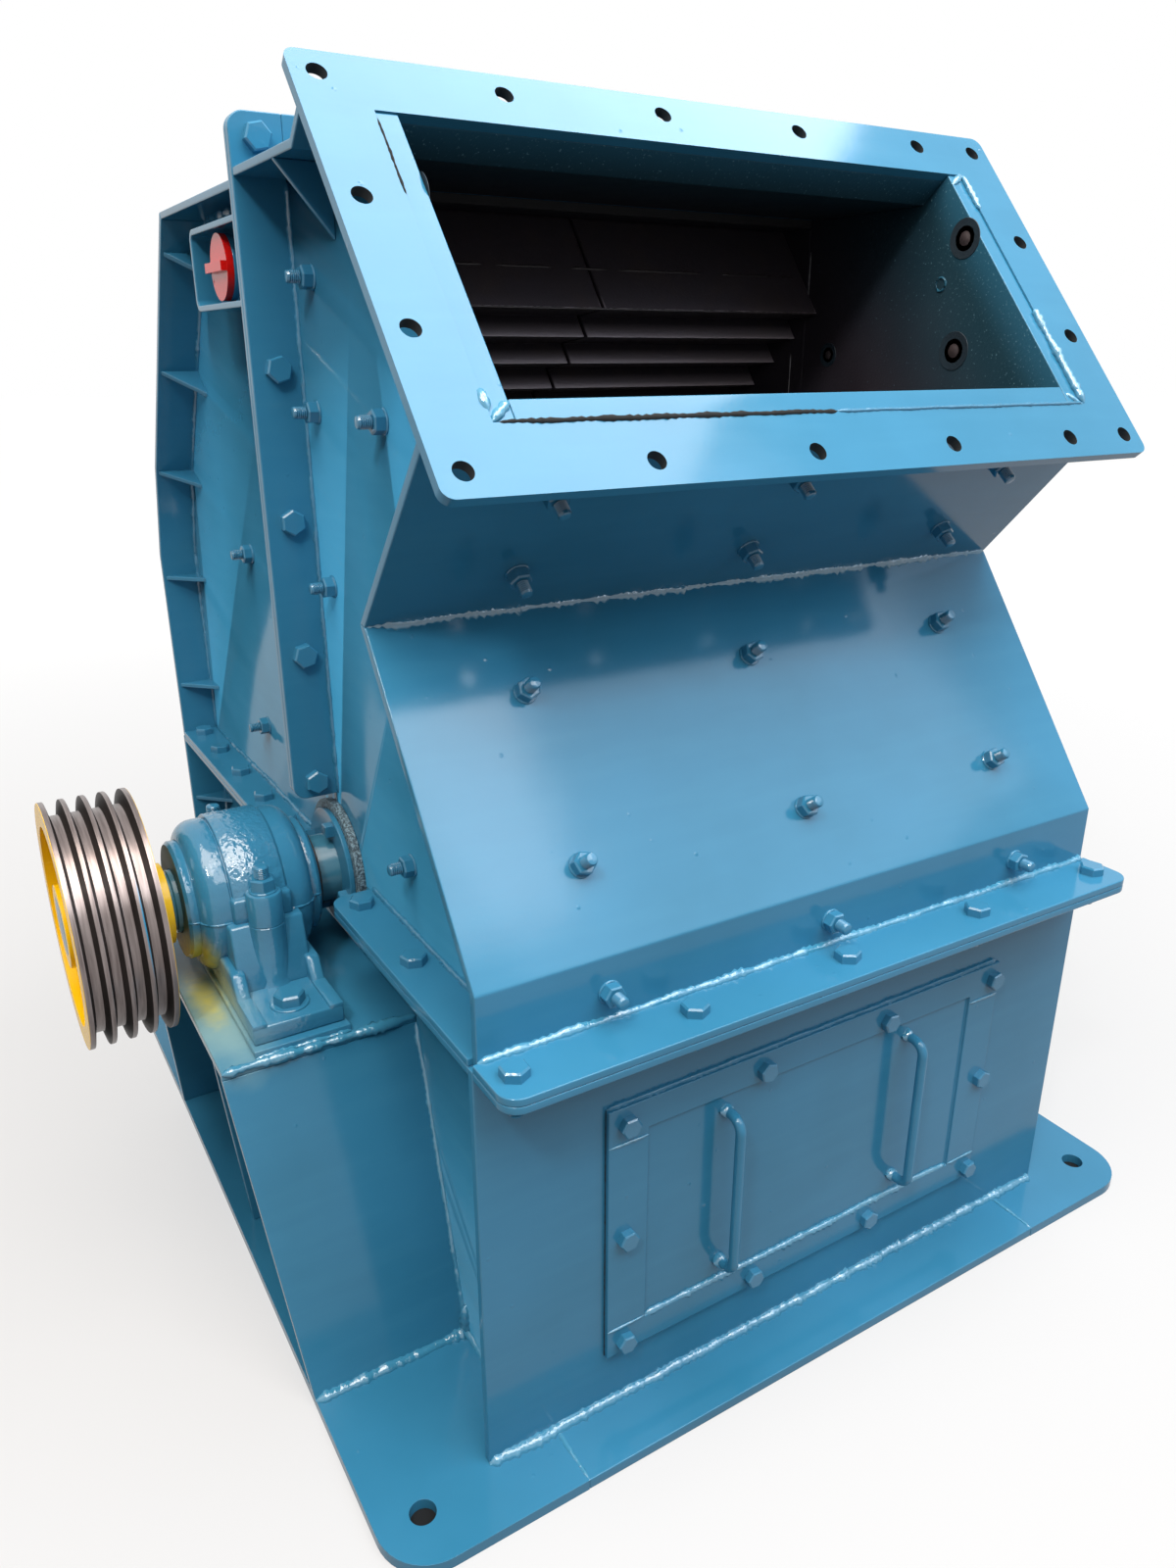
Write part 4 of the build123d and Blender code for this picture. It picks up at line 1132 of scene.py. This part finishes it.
    def stands(self) -> None:
        """Round the bearing stands: foot, wall, top and the pads."""
        row = self.layout
        x = row.wall_x
        low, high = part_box("pedestal_end_plates")
        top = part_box("pedestal_tops")
        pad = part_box("bearing_pads")
        foot_x = 221 * MM + x
        lean = top[0].y
        beads = []
        for i, (foot, head, edge) in enumerate(((low.y, lean, pad[0].y), (high.y, top[1].y, pad[1].y))):
            beads += [
                Bead(((-foot_x, foot, row.base_top), (-x, foot, row.base_top)), 8 * MM, 31 + i),
                Bead(((-x - 34 * MM, foot, row.base_top), (-x, foot, row.base_top),
                      (-x, foot, row.base_top + 48 * MM)), 9 * MM, 39 + i),
                Bead(((-x, foot, row.base_top), (-x, head, top[0].z)), 5 * MM, 33 + i),
                Bead(((high.x * -1, head, top[1].z - 2 * MM), (-x, head, top[1].z - 2 * MM)), 6 * MM, 35 + i),
                Bead(((-pad[1].x, edge, top[1].z), (-pad[1].x + 128 * MM, edge, top[1].z)), 4 * MM, 37 + i),
            ]
        self.publish_set("stand_welds", beads, True)

    def cover(self) -> None:
        """Along the lower edge of the cover's panel, with butt seams in its frame and lumps at the handles."""
        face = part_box("inspection_cover")
        panel_y = face[0].y + 4 * MM
        half = face[1].x - 58 * MM
        low = face[0].z + 42 * MM
        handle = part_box("cover_handles")
        seam_low, seam_high = face[0].z + 44 * MM, face[1].z - 52 * MM
        beads = [Bead(((-half, panel_y, low), (half, panel_y, low)), 5 * MM, 41)]
        for side in (-1, 1):
            for height, seed in ((seam_low, 42), (seam_high, 43)):
                ends = (side * face[1].x, side * half)
                beads.append(Bead(((ends[0], face[0].y, height), (ends[1], face[0].y, height)), 2 * MM, seed + side))
        x = handle[1].x - 7 * MM
        for side in (-1, 1):
            for height in (handle[0].z + 7 * MM, handle[1].z - 7 * MM):
                spot = Vector((side * x, panel_y - 2 * MM, height))
                across = Vector((11 * MM, 0, 0))
                beads.append(Bead((tuple(spot - across), tuple(spot + across)), 10 * MM, 50 + side + int(height * 9)))
        self.publish_set("cover_welds", beads)
        wall = self.layout.front_y
        self.publish_set("cover_paint_fillet", [
            Bead(((-face[1].x, wall, face[1].z), (face[1].x, wall, face[1].z)), 5 * MM, 46),
        ], finish=PLATE_ENAMEL)
        high = face[1].z - 42 * MM
        edge = [(-face[1].x, face[0].y + 7 * MM, face[1].z), (-face[1].x, face[0].y + 7 * MM, face[0].z),
                (face[1].x, face[0].y + 7 * MM, face[0].z)]
        # Thin near-black beads along the panel's top and the cover's edges are painted shade in the open joints.
        gaps = [Bead(((-half, panel_y, high), (half, panel_y, high)), 1.2 * MM, 44), Bead(tuple(edge), 0.8 * MM, 45)]
        self.publish_set("cover_open_joints", gaps, finish=JOINT_SHADE)

    def rear(self) -> None:
        """Up the joint of the rear cover with the side walls, and round the capped port."""
        row = self.layout
        x = row.wall_x
        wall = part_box("rear_left_wall")
        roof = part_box("rear_roof")
        inner = row.rear_y - row.plate
        knee = Vector((-x, row.rear_y - 65.5 * MM - row.plate, 1.1185))
        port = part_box("port_neck")
        ring = []
        middle = (port[0] + port[1]) / 2
        for i in range(17):
            angle = math.tau * i / 16
            ring.append((-x, middle.y + 34 * MM * math.cos(angle), middle.z + 34 * MM * math.sin(angle)))
        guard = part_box("port_guard")
        self.publish_set("rear_joint_welds", [
            Bead(((-x, inner, row.flange_top), (-x, inner, 0.952), tuple(knee), (-x, roof[1].y - 8 * MM, wall[1].z)),
                 5 * MM, 61),
            Bead(((-x, roof[0].y, wall[1].z), (-x, roof[1].y - 8 * MM, wall[1].z)), 5 * MM, 62),
        ], True, FILLET_ENAMEL)
        self.publish_set("port_welds", [
            Bead(tuple(ring), 5 * MM, 63),
            Bead(((-x, guard[0].y, guard[0].z), (-x, guard[1].y - 14 * MM, guard[0].z)), 5 * MM, 64),
            Bead(((-x, guard[0].y, guard[1].z), (-x, guard[1].y - 14 * MM, guard[1].z)), 5 * MM, 65),
        ])

    def mouth(self) -> None:
        """Weld in the corners of the mouth, where the liners end beside the flange."""
        row = self.layout
        half = abs(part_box("hood_left_wall")[1].x)
        low, high = 80 * MM, 460 * MM
        thick = 26 * MM
        # Thin near-black beads along the liners' ends are painted shade in the open joints.
        gaps = [
            Bead((tuple(row.on_feed(-half, high - 110 * MM, -0.5 * MM)), tuple(row.on_feed(-half, high - 8 * MM, -0.5 * MM))),
                 1.5 * MM, 70),
            Bead((tuple(row.on_feed(-half + 6 * MM, low, -0.5 * MM)), tuple(row.on_feed(0.0, low, -0.5 * MM))), 3 * MM, 71),
            Bead((tuple(row.on_feed(half, low + 20 * MM, 0.4 * MM)), tuple(row.on_feed(half, low + 135 * MM, 0.4 * MM))),
                 1.6 * MM, 76),
        ]
        self.publish_set("mouth_open_joints", gaps, finish=JOINT_SHADE)
        beads = [
            Bead((tuple(row.on_feed(half, low, 0)), tuple(row.on_feed(half, low + 150 * MM, 0))), 5 * MM, 72),
            Bead((tuple(row.on_feed(half, high - 60 * MM, 0)), tuple(row.on_feed(half, high, 0))), 4 * MM, 73),
        ]
        seam = Bead((tuple(row.on_feed(0.0, low, 0)), tuple(row.on_feed(half, low, 0))), 2.2 * MM, 74)
        self.publish_set("mouth_lip_seam", [seam], finish=FILLET_ENAMEL)
        corners = ((-half, low + 2 * MM, -half + thick, low + thick), (-half, low + 12 * MM, -half, low + 42 * MM),
                   (half - 22 * MM, low + 18 * MM, half, low - 4 * MM), (half - 26 * MM, high - 16 * MM, half, high + 2 * MM))
        for i, (x0, along0, x1, along1) in enumerate(corners):
            path = (tuple(row.on_feed(x0, along0, -3 * MM)), tuple(row.on_feed(x1, along1, -3 * MM)))
            beads.append(Bead(path, 5.5 * MM, 77 + i))
        self.publish_set("mouth_welds", beads)
        self.liner_marks()
        self.breaker()

    def liner_marks(self) -> None:
        """The plugged hole and the plate joints that show on the side liners inside the mouth."""
        ring = []
        for i in range(self.ring_steps + 1):
            angle = math.tau * i / self.ring_steps
            ring.append((self.liner_face, self.plug[0] + self.plug_radius * math.cos(angle),
                         self.plug[1] + self.plug_radius * math.sin(angle)))
        self.publish_set("liner_plug_ring", [Bead(tuple(ring), 1.6 * MM, 98)], True, OVERSPRAY)
        joints = [Bead(((self.liner_face, y, low), (self.liner_face, y, high)), 0.9 * MM, 99)
                  for y, low, high in self.liner_joints]
        self.publish_set("liner_plate_joints", joints, True, BARE_EDGE)

    def breaker(self) -> None:
        """The rough weld across the breaker's hanger plate, laid in short runs, and the bright tip below it."""
        low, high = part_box("breaker_plates")
        lean = math.radians(37.0)
        back = Vector((0, math.sin(lean), math.cos(lean)))
        tip = Vector((0, low.y, high.z - 125 * MM))
        seam = tip + back * 68 * MM
        runs = ((-0.39, -0.30), (-0.28, -0.17), (-0.15, -0.06), (-0.03, 0.03), (0.05, 0.20), (0.24, 0.39))
        beads = [Bead(((x0, seam.y, seam.z), (x1, seam.y, seam.z)), 2.2 * MM, 90 + i)
                 for i, (x0, x1) in enumerate(runs)]
        beads.append(Bead(((-high.x, tip.y, tip.z), (high.x, tip.y, tip.z)), 1.6 * MM, 97))
        self.publish_set("breaker_welds", beads, finish=BOLT_IRON)


@dataclass
class Bearings:
    """The two plummer blocks: a turned body with a rough band, columns, trunk and foot."""

    layout: Layout
    bolts: BoltSets
    offset: float = 593 * MM
    radius: float = 108 * MM
    half_width: float = 78 * MM
    shoulder: float = 26 * MM
    band_half: float = 36 * MM
    band_rise: float = 4 * MM
    ring_radius: float = 84 * MM
    ring_length: float = 14 * MM
    bore: float = 46 * MM
    column_radius: float = 24 * MM
    column_offset: float = 126 * MM
    column_top: float = 46 * MM
    foot_bolt_offset: float = 200 * MM

    def profile(self, blind: bool) -> list[tuple[float, float]]:
        """The body's outline as radius and height along the shaft, from the outer end inwards."""
        end, groove = self.half_width, 2.5 * MM
        centre = self.radius - self.shoulder
        band = self.radius + self.band_rise
        half = [(self.ring_radius - 4 * MM, -end - self.ring_length), (self.ring_radius, 4 * MM - end - self.ring_length),
                (self.ring_radius, -end - 1 * MM), (centre + 1 * MM, -end + 2 * MM)]
        half += arc((centre, self.shoulder - end), self.shoulder, -84, 0, 7)
        edge = self.band_half
        half += [(self.radius, -edge - 3 * MM), (self.radius - groove, -edge - 1.5 * MM), (self.radius - groove, -edge),
                 (band - 1 * MM, -edge + 0.5 * MM), (band, -edge + 2 * MM)]
        inner = [(radius, -height) for radius, height in reversed(half)]
        outer_end = [(0.0, -end - self.ring_length)] if blind else [(self.bore, -end - self.ring_length)]
        return outer_end + half + inner + [(self.bore, end + self.ring_length)]

    def body(self, blind: bool) -> bmesh.types.BMesh:
        """The turned body along X, outer end to the left, with the band's faces marked as rough."""
        bm = lathe(self.profile(blind), 96)
        bmesh.ops.rotate(bm, verts=bm.verts, cent=(0, 0, 0), matrix=Matrix.Rotation(math.pi / 2, 3, "Y"))
        for face in bm.faces:
            middle = face.calc_center_median()
            on_band = abs(middle.x) < self.band_half - 2 * MM and math.hypot(middle.y, middle.z) > self.radius
            at_end = abs(face.normal.x) > 0.9 and abs(middle.x) > self.half_width
            face.material_index = 1 if on_band else 2 if at_end and not blind else 0
        return bm

    def build(self) -> None:
        """Build both blocks with their bolts."""
        row = self.layout
        bm = bmesh.new()
        for side, blind in ((-1, False), (1, True)):
            place = Matrix.Translation((side * self.offset, row.shaft_y, row.split_z))
            turn = Matrix.Identity(4) if side < 0 else Matrix.Diagonal((-1, 1, 1, 1))
            merge(bm, self.body(blind), [place @ turn])
            merge(bm, self.housing(), [place @ turn])
        publish("plummer_blocks", bm, [CAST_ENAMEL, BAND_ENAMEL, END_ENAMEL],
                replaces=["bearing_bases", "bearing_caps"], sharp=38.0)
        self.fasten()
        self.seams()

    def housing(self) -> bmesh.types.BMesh:
        """Columns, trunk and foot about the block's own axis."""
        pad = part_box("bearing_pads")[1].z - self.layout.split_z
        foot_top = pad + 25 * MM
        bm = bmesh.new()
        merge(bm, block((-60 * MM, -240 * MM, pad), (60 * MM, 240 * MM, foot_top), 3 * MM, 3))
        for x in (-60 * MM, 41 * MM):
            merge(bm, block((x, -240 * MM, foot_top - 4 * MM), (x + 19 * MM, 240 * MM, foot_top + 4 * MM), 2 * MM))
            merge(bm, self.wedge(x, x + 19 * MM, 149 * MM, 172 * MM, foot_top, foot_top + 32 * MM))
        merge(bm, self.wedge(-50 * MM, 50 * MM, self.column_offset, 148 * MM, foot_top - 2 * MM, 0.0))
        merge(bm, block((-40 * MM, -118 * MM, -2 * MM), (40 * MM, 118 * MM, 34 * MM), 5 * MM, 3))
        for side in (-1, 1):
            radius, top = self.column_radius, self.column_top
            column = lathe([(radius + 5 * MM, foot_top - 1 * MM), (radius, foot_top + 7 * MM), (radius, -1.2 * MM),
                            (radius - 1.2 * MM, 0), (radius, 1.2 * MM), (radius, top - 5 * MM),
                            (radius - 1.5 * MM, top - 1.5 * MM), (radius - 5 * MM, top), (0, top)], 40)
            merge(bm, column, [Matrix.Translation((0, side * self.column_offset, 0))])
        return bm

    def wedge(self, x0: float, x1: float, top_y: float, foot_y: float, low: float, high: float) -> bmesh.types.BMesh:
        """A block that flares towards the foot, with softened edges.

        Args:
            x0: its left side.
            x1: its right side.
            top_y: half its depth at the top.
            foot_y: half its depth at the foot.
            low: its foot.
            high: its top.

        Returns:
            The block's mesh.
        """
        bm = block((x0, -foot_y, low), (x1, foot_y, high))
        for vert in bm.verts:
            if vert.co.z > (low + high) / 2:
                vert.co.y *= top_y / foot_y
        soften(bm, bm.edges, 4 * MM, 3)
        return bm

    def fasten(self) -> None:
        """Nuts on the columns and bolts in the feet."""
        row = self.layout
        foot_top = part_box("bearing_pads")[1].z + 25 * MM
        nuts, bolts = [], []
        for x in (-self.offset, self.offset):
            for side in (-1, 1):
                y = row.shaft_y + side * self.column_offset
                nuts.append(self.bolts.turned((x, y, row.split_z + self.column_top), (0, 0, 1)))
                y = row.shaft_y + side * self.foot_bolt_offset
                bolts.append(self.bolts.turned((x, y, foot_top), (0, 0, 1)))
        self.bolts.fill("bearing_bolts", [(self.bolts.cap_nut, nuts), (self.bolts.foot_bolt, bolts)])

    def seams(self) -> None:
        """The painted-over split line of each block, as a thin ridge at the shaft's height."""
        row = self.layout
        line = [(height, radius) for radius, height in self.profile(False)[1:-1]]
        beads = []
        for centre in (-self.offset, self.offset):
            for side in (-1, 1):
                path = tuple((centre + x, row.shaft_y + side * r, row.split_z) for x, r in line)
                beads.append(Bead(path, 1.6 * MM, 81 + side))
        welds = Welds(row)
        bm = bmesh.new()
        for bead in beads:
            merge(bm, welds.tube(bead))
        publish("bearing_split_lines", bm, [CAST_ENAMEL], sharp=80.0)


@dataclass
class Drive:
    """The belt pulley and the shaft: bare turned rim, yellow web and hub, painted sleeve."""

    layout: Layout
    bare_radius: float = 146 * MM
    rim_width: float = 110.5 * MM
    steep: float = 0.5
    sleeve_inner: float = 441 * MM
    seal_radius: float = 66 * MM

    def build(self) -> None:
        """Build the pulley, the shaft and the dark seal rings beside the bearings."""
        self.pulley()
        self.shaft()
        self.seal_rings()

    def pulley(self) -> None:
        """The pulley, with its grooves bare, the groove walls darker as dirt and painted shade, and the rest yellow."""
        bm = plate_copy("drive_pulley", 0.6 * MM)
        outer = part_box("drive_pulley")[0].x
        for face in bm.faces:
            middle = face.calc_center_median()
            radius = math.hypot(middle.y - self.layout.shaft_y, middle.z - self.layout.split_z)
            inset = min(middle.x - outer, outer + self.rim_width - middle.x)
            if radius < self.bare_radius or inset < 1 * MM:
                face.material_index = 2
            else:
                # Groove walls, which face along the shaft, get the darker tone of dirt and painted shade.
                face.material_index = 1 if abs(face.normal.x) > self.steep else 0
        publish("belt_pulley", bm, [RIM_IRON, GROOVE_DIRT_AND_SHADE, YELLOW_ENAMEL], Body.ROTOR,
                ["drive_pulley"], weighted=True)

    def shaft(self) -> None:
        """The shaft, painted outside the housing and bare inside it."""
        bm = plate_copy("rotor_shaft", 1.0 * MM)
        for face in bm.faces:
            face.material_index = 0 if abs(face.calc_center_median().x) > self.sleeve_inner else 1
        publish("rotor_shaft.dressed", bm, [SLEEVE_ENAMEL, ROTOR_STEEL], Body.ROTOR, ["rotor_shaft"])

    def seal_rings(self) -> None:
        """Greasy lip seals at the inner ends of the bearings."""
        inner = 501 * MM
        ring = lathe([(49.6 * MM, 0), (self.seal_radius, 0), (self.seal_radius, 6 * MM), (58 * MM, 9 * MM),
                      (49.6 * MM, 9 * MM)], 56, closed=True)
        places = [aimed((side * inner, self.layout.shaft_y, self.layout.split_z), (-side, 0, 0)) for side in (-1, 1)]
        bm = bmesh.new()
        merge(bm, ring, places)
        publish("bearing_lip_seals", bm, [SEAL_GREASE])


# The studio


@dataclass
class Studio:
    """White room, soft lights, and a camera at the photograph's place."""

    eye: Point = (-0.9211, -1.5821, 1.3095)
    azimuth: float = -31.3
    elevation: float = -21.0
    focal_px: float = 1143.4
    image_px: tuple[int, int] = (1200, 1600)
    sensor: float = 36.0
    ambient: float = 0.4
    # The near-black tone under the base's footprint is painted shade.
    floor_tone: str = "#747474"
    shade_under_base_tone: str = "#1c1e20"
    shade_under_base_share: float = 0.95
    floor_mirror: float = 0.7

    def build(self) -> None:
        """Make the camera, the world, the lamps and the floor."""
        scene = bpy.context.scene
        scene.view_settings.view_transform = "Standard"
        self.camera(scene)
        self.world(scene)
        self.lamp("top_light", (1.4, -0.6, 4.8), 2.4, 130.0, "#fbfdff")
        self.lamp("key_light", (0.5, -3.4, 4.85), 3.0, 128.0, "#ffffff")
        self.lamp("sky_light", (2.6, -3.3, 4.1), 3.0, 85.0, "#d4e9ff")
        self.lamp("left_top_light", (-1.25, -1.3, 4.7), 3.0, 205.0, "#fff2e6")
        self.lamp("glint_light", (-2.4, -2.3, 3.8), 0.45, 58.0, "#ffffff")
        self.lamp("left_light", (-4.2, -0.6, 2.8), 2.4, 12.0, "#ffdfc6")
        self.floor()

    def camera(self, scene: bpy.types.Scene) -> None:
        """Aim the camera as the photograph was taken."""
        data = bpy.data.cameras.new("camera")
        data.sensor_width = self.sensor
        data.lens = self.focal_px * self.sensor / max(self.image_px)
        data.clip_start, data.clip_end = 0.02, 200.0
        camera = bpy.data.objects.new("camera", data)
        azimuth, elevation = math.radians(self.azimuth), math.radians(self.elevation)
        ahead = Vector((-math.sin(azimuth) * math.cos(elevation), math.cos(azimuth) * math.cos(elevation),
                        math.sin(elevation)))
        camera.location = self.eye
        camera.rotation_euler = ahead.to_track_quat("-Z", "Y").to_euler()
        scene.collection.objects.link(camera)
        scene.camera = camera

    def world(self, scene: bpy.types.Scene) -> None:
        """A white surround for the eye and for gloss, with a lower ambient light."""
        world = bpy.data.worlds.new("white_room")
        world.use_nodes = True
        tree = world.node_tree
        ray = add(tree, "ShaderNodeLightPath")
        seen = add(tree, "ShaderNodeMath", {0: ray.outputs["Is Camera Ray"], 1: ray.outputs["Is Glossy Ray"]},
                   operation="ADD", use_clamp=True)
        seen = add(tree, "ShaderNodeMath", {0: seen.outputs[0], 1: ray.outputs["Is Transmission Ray"]},
                   operation="ADD", use_clamp=True)
        strength = add(tree, "ShaderNodeMapRange", {"Value": seen.outputs[0]}, {"To Min": self.ambient, "To Max": 1.0})
        white = tree.nodes["Background"]
        white.inputs["Color"].default_value = (1, 1, 1, 1)
        tree.links.new(strength.outputs[0], white.inputs["Strength"])
        scene.world = world

    def lamp(self, name: str, spot: Point, size: float, power: float, colour: str) -> None:
        """Add one square soft box aimed at the machine.

        Args:
            name: the lamp's name.
            spot: where it hangs.
            size: its side.
            power: its power in watts.
            colour: its colour.
        """
        data = bpy.data.lights.new(name, "AREA")
        data.size = size
        data.energy = power
        data.color = linear(colour)[:3]
        lamp = bpy.data.objects.new(name, data)
        lamp.location = spot
        lamp.rotation_euler = (Vector((0, 0, 0.7)) - Vector(spot)).to_track_quat("-Z", "Y").to_euler()
        bpy.context.scene.collection.objects.link(lamp)

    def floor(self) -> None:
        """A pale floor that fades to white away from the machine and keeps its shadow; under the machine's base it is
        painted dark, without its glow, as shade.
        """
        bm = bmesh.new()
        bmesh.ops.create_circle(bm, cap_ends=True, segments=96, radius=40.0)
        mesh = bpy.data.meshes.new("floor")
        bm.to_mesh(mesh)
        bm.free()
        material = bpy.data.materials.new("pale_floor")
        material.use_nodes = True
        tree = material.node_tree
        surface = tree.nodes["Principled BSDF"]
        surface.inputs["Roughness"].default_value = 0.9
        surface.inputs["Specular IOR Level"].default_value = 0.1
        place = add(tree, "ShaderNodeTexCoord").outputs["Object"]
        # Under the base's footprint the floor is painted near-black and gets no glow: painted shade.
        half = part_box("base_side_plates")[1].x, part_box("base_end_bars")[1].y
        share = add(tree, "ShaderNodeVectorMath", {0: place}, {1: (*half, 1.0)}, operation="DIVIDE")
        across = add(tree, "ShaderNodeSeparateXYZ", {0: share.outputs[0]})
        sides = [add(tree, "ShaderNodeMath", {0: across.outputs[i]}, operation="ABSOLUTE") for i in (0, 1)]
        reach = add(tree, "ShaderNodeMath", {0: sides[0].outputs[0], 1: sides[1].outputs[0]}, operation="MAXIMUM")
        clear = add(tree, "ShaderNodeMath", {0: reach.outputs[0]}, {1: self.shade_under_base_share},
                    operation="GREATER_THAN")
        tone = add(tree, "ShaderNodeMix", {0: clear.outputs[0]},
                   {6: linear(self.shade_under_base_tone), 7: linear(self.floor_tone)}, data_type="RGBA")
        tree.links.new(tone.outputs[2], surface.inputs["Base Color"])
        away = add(tree, "ShaderNodeVectorMath", {0: place}, operation="LENGTH")
        glow = add(tree, "ShaderNodeMapRange", {"Value": away.outputs["Value"]},
                   {"From Min": 1.2, "From Max": 5.0, "To Min": 0.6, "To Max": 0.9})
        ray = add(tree, "ShaderNodeLightPath")
        shown = add(tree, "ShaderNodeMath", {0: ray.outputs["Is Glossy Ray"], 2: ray.outputs["Is Camera Ray"]},
                    {1: self.floor_mirror}, operation="MULTIPLY_ADD", use_clamp=True)
        shown = add(tree, "ShaderNodeMath", {0: shown.outputs[0], 1: ray.outputs["Is Transmission Ray"]},
                    operation="ADD", use_clamp=True)
        seen = add(tree, "ShaderNodeMath", {0: glow.outputs[0], 1: shown.outputs[0]}, operation="MULTIPLY")
        seen = add(tree, "ShaderNodeMath", {0: seen.outputs[0], 1: clear.outputs[0]}, operation="MULTIPLY")
        surface.inputs["Emission Color"].default_value = (1, 1, 1, 1)
        tree.links.new(seen.outputs[0], surface.inputs["Emission Strength"])
        mesh.materials.append(material)
        floor = bpy.data.objects.new("floor", mesh)
        bpy.context.scene.collection.objects.link(floor)


def main() -> None:
    """Build the studio and the sub-assemblies in order."""
    logging.basicConfig(level=logging.INFO, format="%(name)s: %(message)s")
    Studio().build()
    layout = Layout()
    PlateWork(layout).build()
    bolts = BoltSets(layout)
    bolts.build()
    Welds(layout).build()
    Bearings(layout, bolts).build()
    Drive(layout).build()
    bpy.context.view_layer.update()


if __name__ == "__main__":
    main()
